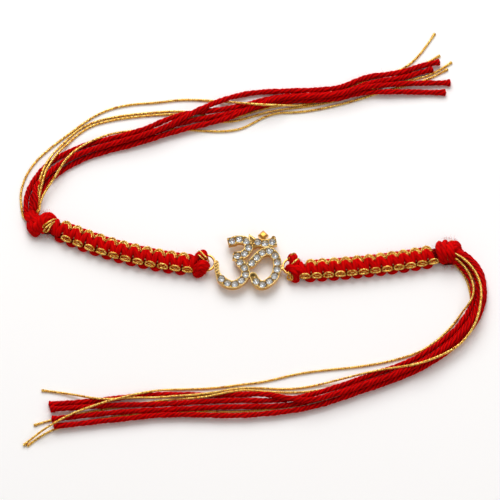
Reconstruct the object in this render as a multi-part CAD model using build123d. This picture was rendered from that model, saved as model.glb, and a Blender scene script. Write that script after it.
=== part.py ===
from build123d import *
import math
import os

# A rakhi: two knotted red and gold bands, an Om pendant set with clear stones
# between them, and a loose bundle of tying strands at each outer end.
# Millimetres. +X is towards the right hand band, +Y away from the viewer and
# +Z up from the table that everything lies on.

# Moves the whole thing so that the origin is below its middle, strands left out
origin_shift = (1.1, -0.4)

# Cords
red_cord_diameter = 1.4
gold_cord_diameter = 0.55

# Om pendant
om_width = 17.7
om_height = 17.1
om_centre = (0.5, -2.75)
om_thickness = 1.35
om_lift = 1.35
stroke_width = 2.3
bindu_diagonal = 2.85
bindu_rise = 0.55

# Stones and what holds them
stone_diameter = 1.72
stone_table_share = 0.56
crown_height = 0.3
girdle_height = 0.08
pavilion_depth = 0.68
seat_clearance = 0.04
bead_diameter = 0.52
bead_clearance = 0.06
empty_seat_diameter = 1.0
empty_seat_depth = 0.5

# Rings soldered to the pendant
ring_outer_diameter = 5.2
ring_wire = 0.67
left_ring_sunk = 0.55
right_ring_gap = 0.05
lug_diameter = 0.9

# The left ring is sunk into the edge of the bare arm. The right one stands just clear of its
# stroke, and a short lug joins the two. Places are shares of the pendant's width and height.
left_ring_touch = (-0.518, -0.044)
right_ring_touch = (0.449, -0.108)
lug_start = (0.443, -0.173)
left_ring_centre = (
    om_centre[0] + left_ring_touch[0] * om_width - ring_outer_diameter / 2 + left_ring_sunk,
    om_centre[1] + left_ring_touch[1] * om_height,
)
right_ring_reach = (stroke_width + ring_outer_diameter) / 2 + right_ring_gap
right_ring_centre = (
    om_centre[0] + right_ring_touch[0] * om_width + right_ring_reach,
    om_centre[1] + right_ring_touch[1] * om_height,
)

# Knotted bands
band_core_width = 4.2
band_core_height = 2.7
band_core_round = 1.1
knots_per_band = 11
bar_diameter = 1.44
bar_length = 4.4
bar_top = 3.3
bar_tilt = 16
band_end_margin = 0.6
side_loop_diameter = 1.25
side_loop_length = 2.1
side_loop_offset = 2.42
gold_loop_diameter = 0.95

# Bars of a knot: place along the knot as a share of it, and tilt.
bars = [(0.20, -bar_tilt), (0.69, bar_tilt)]

# Loops along the edges: place along the knot, offset, height of the middle, half length, diameter.
# Those of the lower red edge stand at another place in the left hand band than in the right.
edge_loops = [
    (0.45, 2.30, 2.75, 1.0, gold_loop_diameter),
    (0.90, -2.35, 2.20, 1.0, gold_loop_diameter),
    (0.93, side_loop_offset, 1.20, 0.42, side_loop_diameter),
]
left_lower_lobe = 0.65
right_lower_lobe = 0.35

# Middle line of each band, from left to right
left_band_line = (
    (-51.0, 6.9),
    (-33.5, 0.1),
    (left_ring_centre[0] - 3.9, left_ring_centre[1] - 0.2),
)
right_band_line = (
    (right_ring_centre[0] + 3.3, right_ring_centre[1] - 0.9),
    (34.6, -3.8),
    (51.2, -1.0),
)

# Hitches that hold the bands to the rings
hitch_gap = 0.12
hitch_clearance = 0.12

# End knots
knot_core_width = 4.6
knot_core_height = 2.9
knot_wrap_width = 6.9
knot_wrap_height = 4.0
cord_clearance = 0.15
left_knot_length = 8.0
right_knot_length = 6.6
left_knot_turn = 152
right_knot_turn = 8

cord_routes = {
    "left_red_cord_1": [
        (-57.3, 11.6, 2.45), (-57.6, 14.5, 2.25), (-56.6, 18.1, 2.15), (-54.1, 22.4, 2.15),
        (-50, 26.1, 2.15), (-43.7, 29.4, 2.15), (-37.3, 31.3, 2.25), (-30.2, 33.3, 2.65),
        (-24.6, 35.1, 2.85), (-20, 37.3, 2.85), (-15.7, 39.9, 2.85), (-11.3, 42.3, 2.75),
        (-7, 44.6, 1.9), (-2.7, 46.5, 1), (2.7, 47.7, 0.7), (9.2, 47.9, 0.9), (15.7, 47.9, 1.35),
        (22.1, 48.2, 1.35), (26.7, 49.1, 1.35), (30.2, 51, 1.35), (33.8, 52.2, 1.35),
        (38.3, 52.7, 1.35), (42.9, 53.5, 1.35), (47.9, 55.5, 1.35), (52.7, 56.5, 1.15),
    ],
    "left_red_cord_2": [
        (-59.4, 11.6, 0.95), (-59.7, 14.8, 0.7), (-58.9, 18.3, 0.7), (-57.2, 22, 0.7), (-54, 26, 0.7),
        (-49.7, 29.1, 0.7), (-43.7, 32, 0.7), (-37.8, 33.6, 0.7), (-31.9, 35, 1.1), (-26.5, 36.8, 1.35),
        (-21.1, 39.5, 1.35), (-16.2, 41.1, 1.35), (-10.8, 41.7, 1.35), (-4.9, 42.6, 1.2),
        (1.1, 44.2, 0.7), (6.5, 45.9, 0.7), (12.4, 46.4, 1.1), (18.9, 46.5, 1.35), (24.8, 47, 1.35),
        (29.2, 48.3, 1.35), (32.9, 50, 1.35), (37.3, 50.9, 1.35), (41.6, 51.6, 1.2), (46.3, 53.1, 0.8),
        (50.8, 54.7, 0.7),
    ],
    "left_red_cord_3": [
        (-56.4, 12.1, 0.95), (-56.6, 15.1, 0.7), (-55.4, 18.6, 0.7), (-52.8, 22, 0.7),
        (-48.9, 25.1, 0.7), (-43.7, 28.1, 0.7), (-37.3, 30.3, 0.7), (-31.3, 31.7, 1),
        (-25.9, 33.4, 1.35), (-20.5, 35.3, 1.35), (-15.1, 36.9, 1.35), (-9.7, 38.2, 1.35),
        (-4.9, 39.5, 1.75), (-0.5, 41.2, 2.4), (4.3, 43.7, 2.45), (9.7, 45.3, 2.55), (15.7, 45.5, 2.7),
        (21.6, 45.8, 2.65), (26.5, 46.6, 2.65), (30.8, 48.1, 2.65), (35.1, 48.8, 2.35),
        (39.4, 49.6, 1.6), (44.3, 50, 1.35), (50.1, 50.3, 1), (55.6, 50.5, 0.7),
    ],
    "left_red_cord_4": [
        (-57.9, 11.8, 0.95), (-58.2, 14.9, 0.7), (-57.1, 18.5, 0.7), (-55, 22, 0.7), (-51.4, 25.5, 0.7),
        (-46.7, 28.7, 0.7), (-41.6, 30.8, 0.7), (-36.2, 32.1, 0.8), (-30.8, 33.4, 1.1),
        (-25.4, 35.2, 1.35), (-20.5, 37.3, 1.35), (-15.1, 39, 1.35), (-9.7, 39.9, 1.4),
        (-4.3, 41.1, 1.25), (1.1, 42.7, 0.75), (6.5, 44.2, 1), (11.9, 44.8, 1.35), (18.9, 45, 1.35),
        (24.8, 45.4, 1.35), (29.2, 46.7, 1.35), (32.9, 47.5, 1.35), (37.3, 47.5, 1.35),
        (42.7, 47.6, 1.25), (48.6, 47.6, 0.8), (54.3, 47.6, 0.7),
    ],
    "left_gold_cord_1": [
        (-60.5, 11.9, 0.45), (-60.8, 14.4, 0.3), (-61, 17.6, 0.3), (-60.3, 20.9, 0.3), (-59, 24.1, 0.3),
        (-56.7, 27.6, 0.3), (-53.5, 30.8, 0.3), (-49.7, 34, 0.3), (-45.9, 37.1, 0.3),
        (-41.6, 40.5, 0.3), (-36.7, 43, 0.3), (-30.8, 44.3, 0.3), (-24.3, 44.7, 0.3),
        (-18.4, 45.6, 0.3), (-12.4, 45.6, 0.3), (-6.5, 45, 0.3), (-2.7, 44.2, 1.6), (1.1, 43, 3.4),
        (5.4, 42.6, 3.7), (10, 43.1, 2.2), (14, 43.6, 0.95), (18.1, 44.6, 0.3), (23.2, 46.3, 0.3),
        (28.1, 48, 0.3), (32.4, 49.9, 0.3), (36.7, 51.2, 0.3), (41.9, 52.7, 0.3), (47.5, 55.6, 0.3),
        (52.7, 58.9, 0.3),
    ],
    "left_gold_cord_2": [
        (-57.2, 11.3, 3.5), (-57.1, 13.6, 3.35), (-56.4, 17.2, 3.2), (-55.8, 20.2, 3.15),
        (-55.1, 23.2, 2.7), (-53.9, 26.3, 2.1), (-51.8, 29.8, 1), (-49, 33.1, 0.3), (-45.9, 36.3, 0.3),
        (-42.1, 38.7, 0.3), (-37.3, 40.2, 0.3), (-31.3, 41.2, 0.3), (-25.4, 41.8, 0.3),
        (-18.9, 42.3, 0.3), (-13.5, 41.7, 0.3), (-8.6, 40.2, 0.3), (-3.8, 39.9, 0.3), (1.1, 41.7, 0.3),
        (5.9, 43.2, 0.3), (10.8, 44.1, 0.3), (15.7, 45.7, 0.3), (21.1, 47.2, 0.3), (27, 49.1, 0.3),
        (32.9, 51.7, 0.3), (37.8, 53.2, 0.3), (41.9, 54.4, 0.3), (45.2, 56.8, 0.3), (48.7, 61.1, 0.3),
        (51.3, 65.5, 0.3),
    ],
    "left_gold_cord_3": [
        (-56.5, 11.4, 3.25), (-56.3, 13.6, 3.2), (-55.7, 17.2, 3.2), (-55, 20.2, 3.15),
        (-54.3, 23, 3.15), (-53, 25.8, 2.5), (-50.9, 29.3, 1.6), (-48.4, 32.4, 0.45),
        (-45.5, 35.3, 0.3), (-41.9, 37.9, 0.3), (-37, 39.4, 0.3), (-31.1, 40.4, 0.3), (-25.4, 41, 0.3),
        (-19.4, 41.4, 0.3), (-14.3, 40.4, 0.3), (-9.2, 39, 0.3), (-3.8, 39, 0.3), (1.1, 40.4, 0.3),
        (5.9, 42, 0.3), (11.3, 43, 0.3), (16.7, 43.6, 0.3), (22.1, 44.7, 0.3), (27, 46, 0.3),
        (31.9, 47.9, 0.3), (36.7, 49.5, 0.3), (41.5, 50.8, 0.3), (45.8, 51.7, 0.3), (51.4, 53.5, 0.3),
        (55.9, 56.9, 0.3),
    ],
    "left_gold_cord_4": [
        (-55.9, 11.6, 2.9), (-55.6, 14.2, 2.3), (-54.1, 17.7, 2.3), (-52.2, 20.7, 2.7),
        (-50.6, 23.5, 3.2), (-48.9, 26.3, 3.4), (-46.7, 29.1, 2.8), (-43.7, 31.6, 1.95),
        (-40.5, 33.3, 1.85), (-36.7, 35.3, 0.75), (-32.4, 36.2, 0.3), (-28.1, 36.7, 0.3),
        (-23.8, 36.9, 0.3), (-18.9, 37, 0.3), (-12.5, 36.4, 0.3), (-6.5, 36.1, 0.3), (-1.6, 36.8, 0.3),
        (1.6, 38.5, 0.3), (4.9, 40.5, 0.3), (8.6, 41.8, 0.3), (13.5, 41.8, 0.3), (18.9, 42.6, 0.3),
        (24.8, 44, 0.3), (30.8, 45.8, 0.3), (36.1, 47.7, 0.3), (41, 49.2, 0.3), (45.6, 50.4, 0.3),
        (50.8, 52.3, 0.3), (54.8, 54.8, 0.3),
    ],
    "right_red_cord_1": [
        (56.9, -3.3, 1.6), (58.6, -4.7, 1.35), (60, -6.7, 1.35), (61.1, -9.2, 1.35), (61.4, -12, 1.35),
        (61.1, -14.8, 1.35), (60.1, -17.4, 1.35), (58.5, -20.2, 1.35), (56.2, -23.2, 1.35),
        (52.9, -26.3, 1.35), (49.1, -29.2, 1.35), (44.6, -32, 1.35), (39.7, -34.1, 1.35),
        (34.5, -35.9, 1.35), (29.2, -38, 1.35), (23.8, -40, 1.35), (18.4, -41.8, 1.35),
        (13, -43.2, 1.35), (7, -43.8, 1.35), (0.5, -43.7, 1.35), (-5.9, -43.8, 1.35),
        (-12.4, -44.1, 1.35), (-18.9, -44.6, 1.35), (-25.4, -44.9, 1.35), (-32.4, -45, 1.35),
        (-39.4, -45.3, 1.35), (-46.2, -45.9, 1.35), (-52.8, -46.3, 1.35),
    ],
    "right_red_cord_2": [
        (57.7, -1.8, 1.6), (59.6, -3.2, 1.35), (61.3, -5.4, 1.35), (62.5, -8.3, 1.35),
        (62.9, -11.5, 1.35), (62.6, -14.8, 1.35), (61.6, -17.9, 1.35), (59.8, -21.1, 1.35),
        (57.3, -24.2, 1.35), (54, -27.5, 1.35), (50.1, -30.5, 1.35), (45.4, -33.5, 1.35),
        (40.5, -35.5, 1.35), (35.4, -37.5, 1.35), (29.9, -39.4, 1.35), (24.6, -41.5, 1.35),
        (19.2, -43.3, 1.35), (13.5, -44.8, 1.35), (7.6, -45.5, 1.35), (0.5, -45.5, 1.35),
        (-6.5, -45.7, 1.35), (-13.5, -46, 1.35), (-20, -46.4, 1.35), (-25.9, -46.6, 1.35),
        (-32.4, -47, 1.35), (-39.4, -47.7, 1.35), (-45.9, -48.5, 1.35), (-52.4, -49.2, 1.35),
    ],
    "right_red_cord_3": [
        (58.5, -0.4, 1.6), (60.5, -1.8, 1.35), (62.5, -4.1, 1.35), (63.9, -7.4, 1.35),
        (64.4, -11.2, 1.35), (64.1, -14.9, 1.35), (63, -18.5, 1.35), (61.1, -22.1, 1.35),
        (58.4, -25.5, 1.35), (55, -28.8, 1.35), (51, -31.9, 1.35), (46.2, -34.9, 1.35),
        (41.3, -37.1, 1.35), (36.2, -39.2, 1.35), (30.7, -41.1, 1.35), (25.4, -43.2, 1.35),
        (19.7, -45.1, 1.35), (14, -46.5, 1.35), (7.6, -47.4, 1.35), (0.5, -48.1, 1.35),
        (-6.5, -48.2, 1.35), (-13.5, -47.9, 1.35), (-20, -47.9, 1.35), (-25.9, -48.2, 1.35),
        (-32.3, -49.1, 1.35), (-39.2, -49.8, 1.35), (-45.6, -50.7, 1.35), (-51.8, -51.3, 1.35),
    ],
    "right_red_cord_4": [
        (58.6, -1.7, 2.95), (60.8, -3.1, 2.7), (62.5, -5.7, 2.7), (63.7, -8.9, 2.7), (63.9, -12.1, 2.7),
        (63.5, -15.4, 2.7), (62.5, -18.5, 2.7), (60.6, -21.7, 2.7), (57.9, -24.9, 2.7),
        (54.6, -28.1, 2.7), (50.5, -31.2, 2.7), (45.8, -34.1, 2.7), (40.9, -36.3, 2.7),
        (35.8, -38.3, 2.7), (30.4, -40.3, 2.7), (25, -42.2, 2.7), (19.4, -43.9, 2.8),
        (14.9, -44.4, 2.85), (10.3, -43.5, 2.9), (5.9, -42.4, 2.4), (1.6, -41.8, 1.25),
        (-2.7, -41.8, 0.75), (-9.7, -41.9, 0.7), (-17.3, -41.7, 0.7), (-24.3, -41.7, 0.7),
        (-31.3, -42.3, 0.7), (-38.3, -43.3, 0.7), (-45.9, -44.1, 0.7), (-53.2, -44.6, 0.7),
    ],
    "right_gold_cord_1": [
        (56.3, -1.2, 3.2), (58.2, -2.5, 3.6), (60.1, -4.3, 3.75), (61.7, -6.5, 3.75),
        (62.9, -9.2, 3.75), (63.5, -12.3, 3.75), (63.3, -15.7, 3.75), (62.7, -19.3, 3.75),
        (61.5, -22.6, 3.3), (59.4, -25.9, 2.8), (56.8, -28.5, 2.5), (53.5, -30.6, 2.8),
        (49.7, -32.7, 3.5), (45.6, -34.2, 3.8), (41.6, -34.8, 3.4), (37.8, -35, 2.6),
        (33.5, -35.7, 2.25), (28.6, -36.7, 1.5), (23.8, -37.8, 0.9), (18.9, -38.9, 0.35),
        (14, -39.8, 0.3), (9.2, -40, 0.3), (5, -39.7, 0.3), (0.5, -39.6, 0.3), (-3.2, -40, 0.7),
        (-7, -41.3, 1.8), (-10.8, -41.9, 1.8), (-15.1, -42.4, 1.8), (-19.4, -42.7, 1.8),
        (-23.8, -43.1, 1.8), (-28.1, -43.1, 1.8), (-32.4, -43.2, 1.8), (-36.7, -43.6, 1.8),
        (-41, -43.3, 1.8), (-45.4, -42, 0.8), (-50.4, -40.9, 0.3), (-55.1, -40.3, 0.3),
    ],
    "right_gold_cord_2": [
        (56.3, -2.4, 3), (57.9, -3.5, 2.6), (59.5, -5.5, 2.4), (60.8, -8, 2.4), (61.5, -11, 2.4),
        (61.2, -13.6, 2.4), (60.1, -15.7, 2.3), (58.7, -17.2, 1.3), (57.3, -19, 0.5),
        (55.7, -21.2, 0.3), (53.6, -23.6, 0.3), (51.2, -25.9, 0.3), (48.3, -28.1, 0.3),
        (45.2, -29.7, 0.3), (41.9, -30.8, 0.3), (37.8, -32, 0.3), (33.2, -32.9, 0.3),
        (28.1, -33.7, 0.3), (22.7, -34.2, 0.3), (17.3, -34.9, 0.3), (12.4, -35.8, 0.3),
        (7.8, -37.1, 0.3), (3.2, -38.1, 0.3), (-1.2, -38.6, 0.3), (-5.4, -39.3, 0.3),
        (-10.3, -39.8, 0.3), (-15.1, -40, 0.3), (-20, -40.1, 0.3), (-23.8, -40.7, 1.2),
        (-27, -41.5, 1.85), (-30.2, -42.3, 2.15), (-33.5, -43.4, 2.5), (-36.7, -44.3, 2.5),
        (-40.2, -45.5, 2.6), (-43.7, -46.8, 2.5), (-47.5, -48.4, 2.45), (-51, -50.5, 2.5),
        (-54.3, -52.4, 1.95), (-57.2, -54.4, 0.9), (-59.9, -56.5, 0.35),
    ],
    "right_gold_cord_3": [
        (56.1, -3, 0.7), (57.3, -4.3, 0.45), (58.8, -6.2, 0.3), (59.9, -8.7, 0.3), (60.5, -11.5, 0.3),
        (60.8, -14.2, 0.3), (60.2, -17, 0.3), (58.9, -19.6, 0.3), (56.8, -22.4, 0.3),
        (54.3, -25.2, 0.3), (51.2, -27.8, 0.3), (47.5, -30.2, 0.3), (43.2, -32.3, 0.3),
        (38.9, -34.3, 0.3), (34, -35.9, 0.3), (29.2, -37.7, 0.3), (24.3, -39.4, 0.3),
        (19.4, -40.4, 0.3), (14.6, -40.9, 0.3), (10.3, -41, 0.3), (5.4, -40.7, 0.3), (1.1, -40.4, 0.6),
        (-2.4, -40.9, 1.5), (-6.5, -41.9, 1.9), (-10.8, -42.9, 1.85), (-14.6, -43.3, 1.7),
        (-18.6, -43.2, 0.95), (-22.7, -43.3, 0.3), (-27, -44, 0.3), (-31.3, -44.8, 0.3),
        (-36.2, -45.5, 0.3), (-41, -46.4, 0.3), (-45.4, -47.3, 0.3), (-49.4, -48.4, 0.3),
        (-53.5, -49.3, 0.3), (-57.1, -50.6, 0.3),
    ],
    "right_gold_cord_4": [
        (57.4, -1.8, 0.5), (59.2, -3.4, 0.3), (61, -5.9, 0.3), (62.4, -8.8, 0.3), (63.2, -12, 0.3),
        (63.5, -15.1, 0.3), (63, -18.2, 0.3), (61.7, -21.3, 0.3), (59.4, -24.7, 0.3),
        (56.4, -27.8, 0.3), (52.7, -30.6, 0.3), (48.6, -32.8, 0.3), (44, -34.6, 0.3),
        (39.3, -36.2, 0.3), (34.6, -38.1, 0.3), (29.7, -39.9, 0.3), (24.7, -41.4, 0.3),
        (19.4, -43.3, 0.3), (14, -44.7, 0.3), (8.1, -45.6, 0.3), (1.6, -46.4, 0.3), (-4.9, -46.6, 0.3),
        (-11.3, -46.4, 0.3), (-17.9, -46.5, 0.3), (-24.3, -46.8, 0.3), (-30.8, -47.4, 0.3),
        (-37.3, -48.4, 0.3), (-43.5, -49.5, 0.3), (-48.9, -50.7, 0.3), (-52.9, -52.3, 0.3),
        (-56.1, -54.4, 0.3), (-58.9, -56.7, 0.3),
    ],
}

stone_radius = stone_diameter / 2
om_top = om_lift + om_thickness
ring_radius = (ring_outer_diameter - ring_wire) / 2
ring_height = om_lift + om_thickness / 2


def om_point(x_share, y_share):
    """A point of the pendant from its shares of the pendant's width and height."""
    return Vector(om_centre[0] + x_share * om_width, om_centre[1] + y_share * om_height)


# Strokes of the sign: centre line in shares of the width and height, and stones on it.
upper_bowl = [(-0.242, 0.313), (-0.135, 0.346), (-0.024, 0.313), (0.012, 0.197), (-0.053, 0.096),
              (-0.160, 0.058)]
lower_bowl = [(-0.120, -0.052), (-0.048, -0.163), (-0.037, -0.271), (-0.106, -0.372), (-0.213, -0.432),
              (-0.315, -0.410), (-0.402, -0.339)]
right_loop = [(0.060, -0.063), (0.132, 0.026), (0.220, 0.114), (0.327, 0.142), (0.414, 0.064),
              (0.449, -0.052), (0.443, -0.173), (0.405, -0.294), (0.327, -0.382), (0.225, -0.437),
              (0.127, -0.382)]
crescent = [(0.152, 0.295), (0.258, 0.273), (0.371, 0.301)]
strokes = [upper_bowl, lower_bowl, right_loop, crescent]

# The bare arm beyond the lower bowl: its edge all round, and the beads along its middle.
arm_edge = [(-0.440, -0.390), (-0.472, -0.329), (-0.505, -0.207), (-0.518, -0.110), (-0.508, -0.036),
            (-0.478, -0.014), (-0.448, -0.045), (-0.437, -0.134), (-0.424, -0.220), (-0.385, -0.283),
            (-0.345, -0.300)]
arm_beads = [(-0.480, -0.050), (-0.478, -0.095), (-0.472, -0.145), (-0.462, -0.195), (-0.446, -0.245)]

# Plain metal between the strokes: start, end, and width as a share of the stroke's.
plain_runs = [
    ((0.060, -0.063), (-0.048, -0.163), 0.62),
    ((0.127, -0.382), (0.078, -0.284), 0.95),
    ((0.152, 0.295), (0.070, 0.255), 0.95),
    ((0.327, 0.142), (0.320, 0.285), 0.70),
    ((0.371, 0.301), (0.392, 0.372), 0.48),
    ((-0.120, -0.052), (-0.150, 0.040), 1.00),
    ((0.258, 0.273), (0.236, 0.380), 0.45),
]
square_ends = [(-0.242, 0.313, 12), (-0.160, 0.058, -10), (0.371, 0.301, 10)]
horn = [(0.018, 0.440), (0.010, 0.330), (0.060, 0.250), (0.140, 0.345)]
bindu_place = (0.234, 0.416)
empty_seat_place = (0.078, -0.284)


def capsule_2d(start, end, width):
    """A flat run with round ends between two points."""
    run = end - start
    turn = math.degrees(math.atan2(run.Y, run.X))
    return Pos(*((start + end) * 0.5)) * SlotCenterToCenter(run.length, width, rotation=turn)


def stroke_lines():
    """The centre line of each stroke, through the rows of its table, and its number of stones."""
    return [(Spline(*[om_point(*row) for row in stroke]), len(stroke)) for stroke in strokes]


def stone_places():
    """The centre of every stone and the direction of its stroke there, evenly spaced."""
    places = []
    for line, count in stroke_lines():
        for index in range(count):
            share = index / (count - 1)
            places.append((line @ share, line % share))
    return places


def make_stone():
    """A round stone with a table, eight main and eight break facets above and eight below."""
    height = crown_height + girdle_height + pavilion_depth
    stone = Pos(0, 0, crown_height + girdle_height - height / 2) * extrude(
        RegularPolygon(stone_radius, 16, major_radius=False), height / 2, both=True)
    table_radius = stone_radius * stone_table_share
    crown_angle = math.degrees(math.atan2(crown_height, stone_radius - table_radius))
    cuts = []
    for index in range(8):
        cuts.append((index * 45, crown_angle, girdle_height, 1))
        cuts.append((index * 45 + 22.5, crown_angle * 1.35, girdle_height + 0.03, 1))
        cuts.append((index * 45, math.degrees(math.atan2(pavilion_depth, stone_radius)), 0, -1))
    for azimuth, slope, height_at_edge, side in cuts:
        azimuth = math.radians(azimuth)
        slope = math.radians(slope)
        outward = Vector(math.cos(azimuth) * math.sin(slope), math.sin(azimuth) * math.sin(slope),
                         side * math.cos(slope))
        edge = Vector(math.cos(azimuth) * stone_radius, math.sin(azimuth) * stone_radius, height_at_edge)
        stone = split(stone, bisect_by=Plane(origin=edge, z_dir=outward), keep=Keep.BOTTOM)
    return stone


def make_seat():
    """The cup that a stone sits in, with its clearance all round."""
    wall = Pos(0, 0, 0.5) * Cylinder(stone_radius + seat_clearance, 1)
    depth = pavilion_depth + 2 * seat_clearance
    cone = Pos(0, 0, -depth / 2) * Cone(0.05, stone_radius + seat_clearance, depth)
    return wall + cone


def bead_places(places):
    """Both sides of each gap between two stones of a stroke, where no stone is near."""
    keep_away = stone_radius + bead_diameter / 2 + bead_clearance
    offset = stroke_width / 2 - bead_diameter / 2 - bead_clearance
    beads = []
    for line, count in stroke_lines():
        for index in range(count - 1):
            share = (index + 0.5) / (count - 1)
            along = line % share
            across = Vector(-along.Y, along.X)
            for side in (-1, 1):
                spot = line @ share + across * side * offset
                if all((spot - stone).length > keep_away for stone, way in places):
                    beads.append(spot)
    return beads


def make_bindu():
    """The drop above the crescent: a square block on its corner with a cut pyramid top."""
    side = bindu_diagonal / math.sqrt(2)
    block = extrude(Rectangle(side, side, rotation=45), om_thickness)
    top = Pos(0, 0, om_thickness) * extrude(Rectangle(side, side, rotation=45), bindu_rise, taper=45)
    place = om_point(*bindu_place)
    return Pos(place.X, place.Y, om_lift) * (block + top)


def make_ring(centre):
    """A plain wire ring in the pendant's plane."""
    return Pos(centre[0], centre[1], ring_height) * Torus(ring_radius, ring_wire / 2)


def make_lug():
    """The short rod from the middle of a stroke to the middle of the right ring's wire."""
    start = om_point(*lug_start)
    centre = Vector(*right_ring_centre)
    end = centre + (start - centre).normalized() * ring_radius
    return capsule((start.X, start.Y, ring_height), (end.X, end.Y, ring_height), lug_diameter)


def make_om_frame(places):
    """The cast sign with its cups, beads, crescent and drop, and the two soldered rings."""
    solids = []
    for flat_line, count in stroke_lines():
        line = Pos(0, 0, om_lift + om_thickness / 2) * flat_line
        across = Vector(-(line % 0).Y, (line % 0).X)
        start = Plane(origin=line @ 0, x_dir=across, z_dir=line % 0)
        solids.append(sweep(start * Rectangle(stroke_width, om_thickness), path=line))
        for end in (line @ 0, line @ 1):
            solids.append(Pos(*end) * Cylinder(stroke_width / 2, om_thickness))
    arm_line = Spline(*[om_point(*row) for row in arm_edge])
    flat = make_face(arm_line + Line(arm_line @ 1, arm_line @ 0))
    for start, end, width_share in plain_runs:
        flat += capsule_2d(om_point(*start), om_point(*end), stroke_width * width_share)
    for x_share, y_share, turn in square_ends:
        flat += Pos(*om_point(x_share, y_share)) * Rectangle(stroke_width, stroke_width, rotation=turn)
    flat += make_face(Polyline(*[om_point(*row) for row in horn], close=True))
    frame = (Pos(0, 0, om_lift) * extrude(flat, om_thickness)).fuse(*solids) + make_lug()
    cups = [Pos(place.X, place.Y, om_top - girdle_height) * make_seat() for place, way in places]
    hole = om_point(*empty_seat_place)
    cups.append(Pos(hole.X, hole.Y, om_top) * Cylinder(empty_seat_diameter / 2, 2 * empty_seat_depth))
    frame = frame - cups
    spots = bead_places(places) + [om_point(*row) for row in arm_beads]
    beads = [Pos(spot.X, spot.Y, om_top) * Sphere(bead_diameter / 2) for spot in spots]
    return frame + make_bindu() + beads + make_ring(left_ring_centre) + make_ring(right_ring_centre)


def capsule(start, end, diameter):
    """A rod with round ends between two points in space."""
    start, end = Vector(*start), Vector(*end)
    length = (end - start).length
    radius = diameter / 2
    half = Polyline((0, -radius), (0, length + radius)) + ThreePointArc(
        (0, -radius), (radius * math.sqrt(0.5), -radius * math.sqrt(0.5)), (radius, 0)) + Line(
        (radius, 0), (radius, length)) + ThreePointArc(
        (radius, length), (radius * math.sqrt(0.5), length + radius * math.sqrt(0.5)), (0, length + radius))
    rod = revolve(make_face(half), Axis.Y)
    return Plane(origin=start, z_dir=end - start) * Rot(90, 0, 0) * rod


def band_frame(line, share):
    """Origin, along and across directions of a band at a share of its length."""
    at = line @ share
    along = (line % share).normalized()
    return at, along, Vector(-along.Y, along.X)


def placed(frame, forward, sideways, height):
    """A point forward and sideways of a band's frame at a height above the table."""
    at, along, across = frame
    spot = at + along * forward + across * sideways
    return (spot.X, spot.Y, height)


def make_band(points, lower_lobe_place):
    """A flat core under slanting bars of red, with red and gold loops along both edges."""
    line = ThreePointArc(*points)
    at, along, across = band_frame(line, 0)
    section_plane = Plane(origin=(at.X, at.Y, band_core_height / 2), x_dir=across, z_dir=along)
    section = section_plane * RectangleRounded(band_core_width, band_core_height, band_core_round)
    core_line = Pos(0, 0, band_core_height / 2) * line
    core = sweep(section, path=core_line)
    period = (line.length - 2 * band_end_margin) / knots_per_band
    bar_height = bar_top - bar_diameter / 2
    bar_half = (bar_length - bar_diameter) / 2
    lobe_half = (side_loop_length - side_loop_diameter) / 2
    lower_lobe = (lower_lobe_place, -side_loop_offset, side_loop_diameter / 2, lobe_half, side_loop_diameter)
    pieces = []
    for knot in range(knots_per_band):
        for phase, tilt in bars:
            share = (band_end_margin + (knot + phase) * period) / line.length
            frame = band_frame(line, share)
            lean = bar_half * math.sin(math.radians(tilt))
            reach = bar_half * math.cos(math.radians(tilt))
            pieces.append(capsule(placed(frame, lean, -reach, bar_height),
                                  placed(frame, -lean, reach, bar_height), bar_diameter))
        for phase, offset, height, half, diameter in edge_loops + [lower_lobe]:
            if phase > 0.8 and knot == knots_per_band - 1:
                continue
            share = (band_end_margin + (knot + phase) * period) / line.length
            frame = band_frame(line, share)
            pieces.append(capsule(placed(frame, -half, offset, height),
                                  placed(frame, half, offset, height), diameter))
    return core.fuse(*pieces)


def make_hitch(points, at_start, ring_centre, lobes):
    """The folded strands that go round a ring's wire, open where the wire runs."""
    line = ThreePointArc(*points)
    at, along, across = band_frame(line, 0 if at_start else 1)
    if at_start:
        along = along * -1
    frame = (at, along, across)
    rods = []
    for start_side, end_forward, end_side, diameter in lobes:
        for height in (diameter / 2 + 0.05, bar_top - diameter / 2):
            rods.append(capsule(placed(frame, hitch_gap + diameter / 2, start_side, height),
                                placed(frame, hitch_gap + end_forward, end_side, height), diameter))
    body = rods[0].fuse(*rods[1:])
    room = Torus(ring_radius, ring_wire / 2 + hitch_clearance)
    return body - Pos(ring_centre[0], ring_centre[1], ring_height) * room


def stadium_wrap(width, height, diameter):
    """A cord bent round in a flat loop that stands across the knot's length."""
    straight = width - height
    bend = (height - diameter) / 2
    path = SlotCenterToCenter(straight, 2 * bend).wire()
    start = path @ 0
    section = Plane(origin=start, z_dir=path % 0) * Circle(diameter / 2)
    return sweep(section, path=path)


def cord_diameter(name):
    """The diameter of a strand from the colour in its name."""
    return red_cord_diameter if "red" in name else gold_cord_diameter


def cord_rooms(side):
    """The room that each strand of one side needs where it comes out of the knot."""
    rooms = []
    for name, points in cord_routes.items():
        if name.startswith(side):
            rooms.append(capsule(points[0], points[1], cord_diameter(name) + 2 * cord_clearance))
    return rooms


def make_end_knot(side, at, turn, knot_length, wraps):
    """Wraps of cord drawn tight round a flat core; turn is the way its length points."""
    core = extrude(SlotOverall(knot_core_width, knot_core_height), knot_length / 2 - 0.5, both=True)
    pieces = []
    for forward, lean, diameter, width_share in wraps:
        wrap = stadium_wrap(knot_wrap_width * width_share, knot_wrap_height, diameter)
        pieces.append(Pos(0, 0, forward * knot_length) * Rot(0, lean, 0) * wrap)
    knot = core.fuse(*pieces)
    turn = math.radians(turn)
    upright = Plane(origin=(at[0], at[1], knot_wrap_height / 2), x_dir=(math.sin(turn), -math.cos(turn), 0),
                    z_dir=(math.cos(turn), math.sin(turn), 0))
    opened = upright * knot - cord_rooms(side)
    return opened.solids().sort_by(SortBy.VOLUME)[-1]


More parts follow.
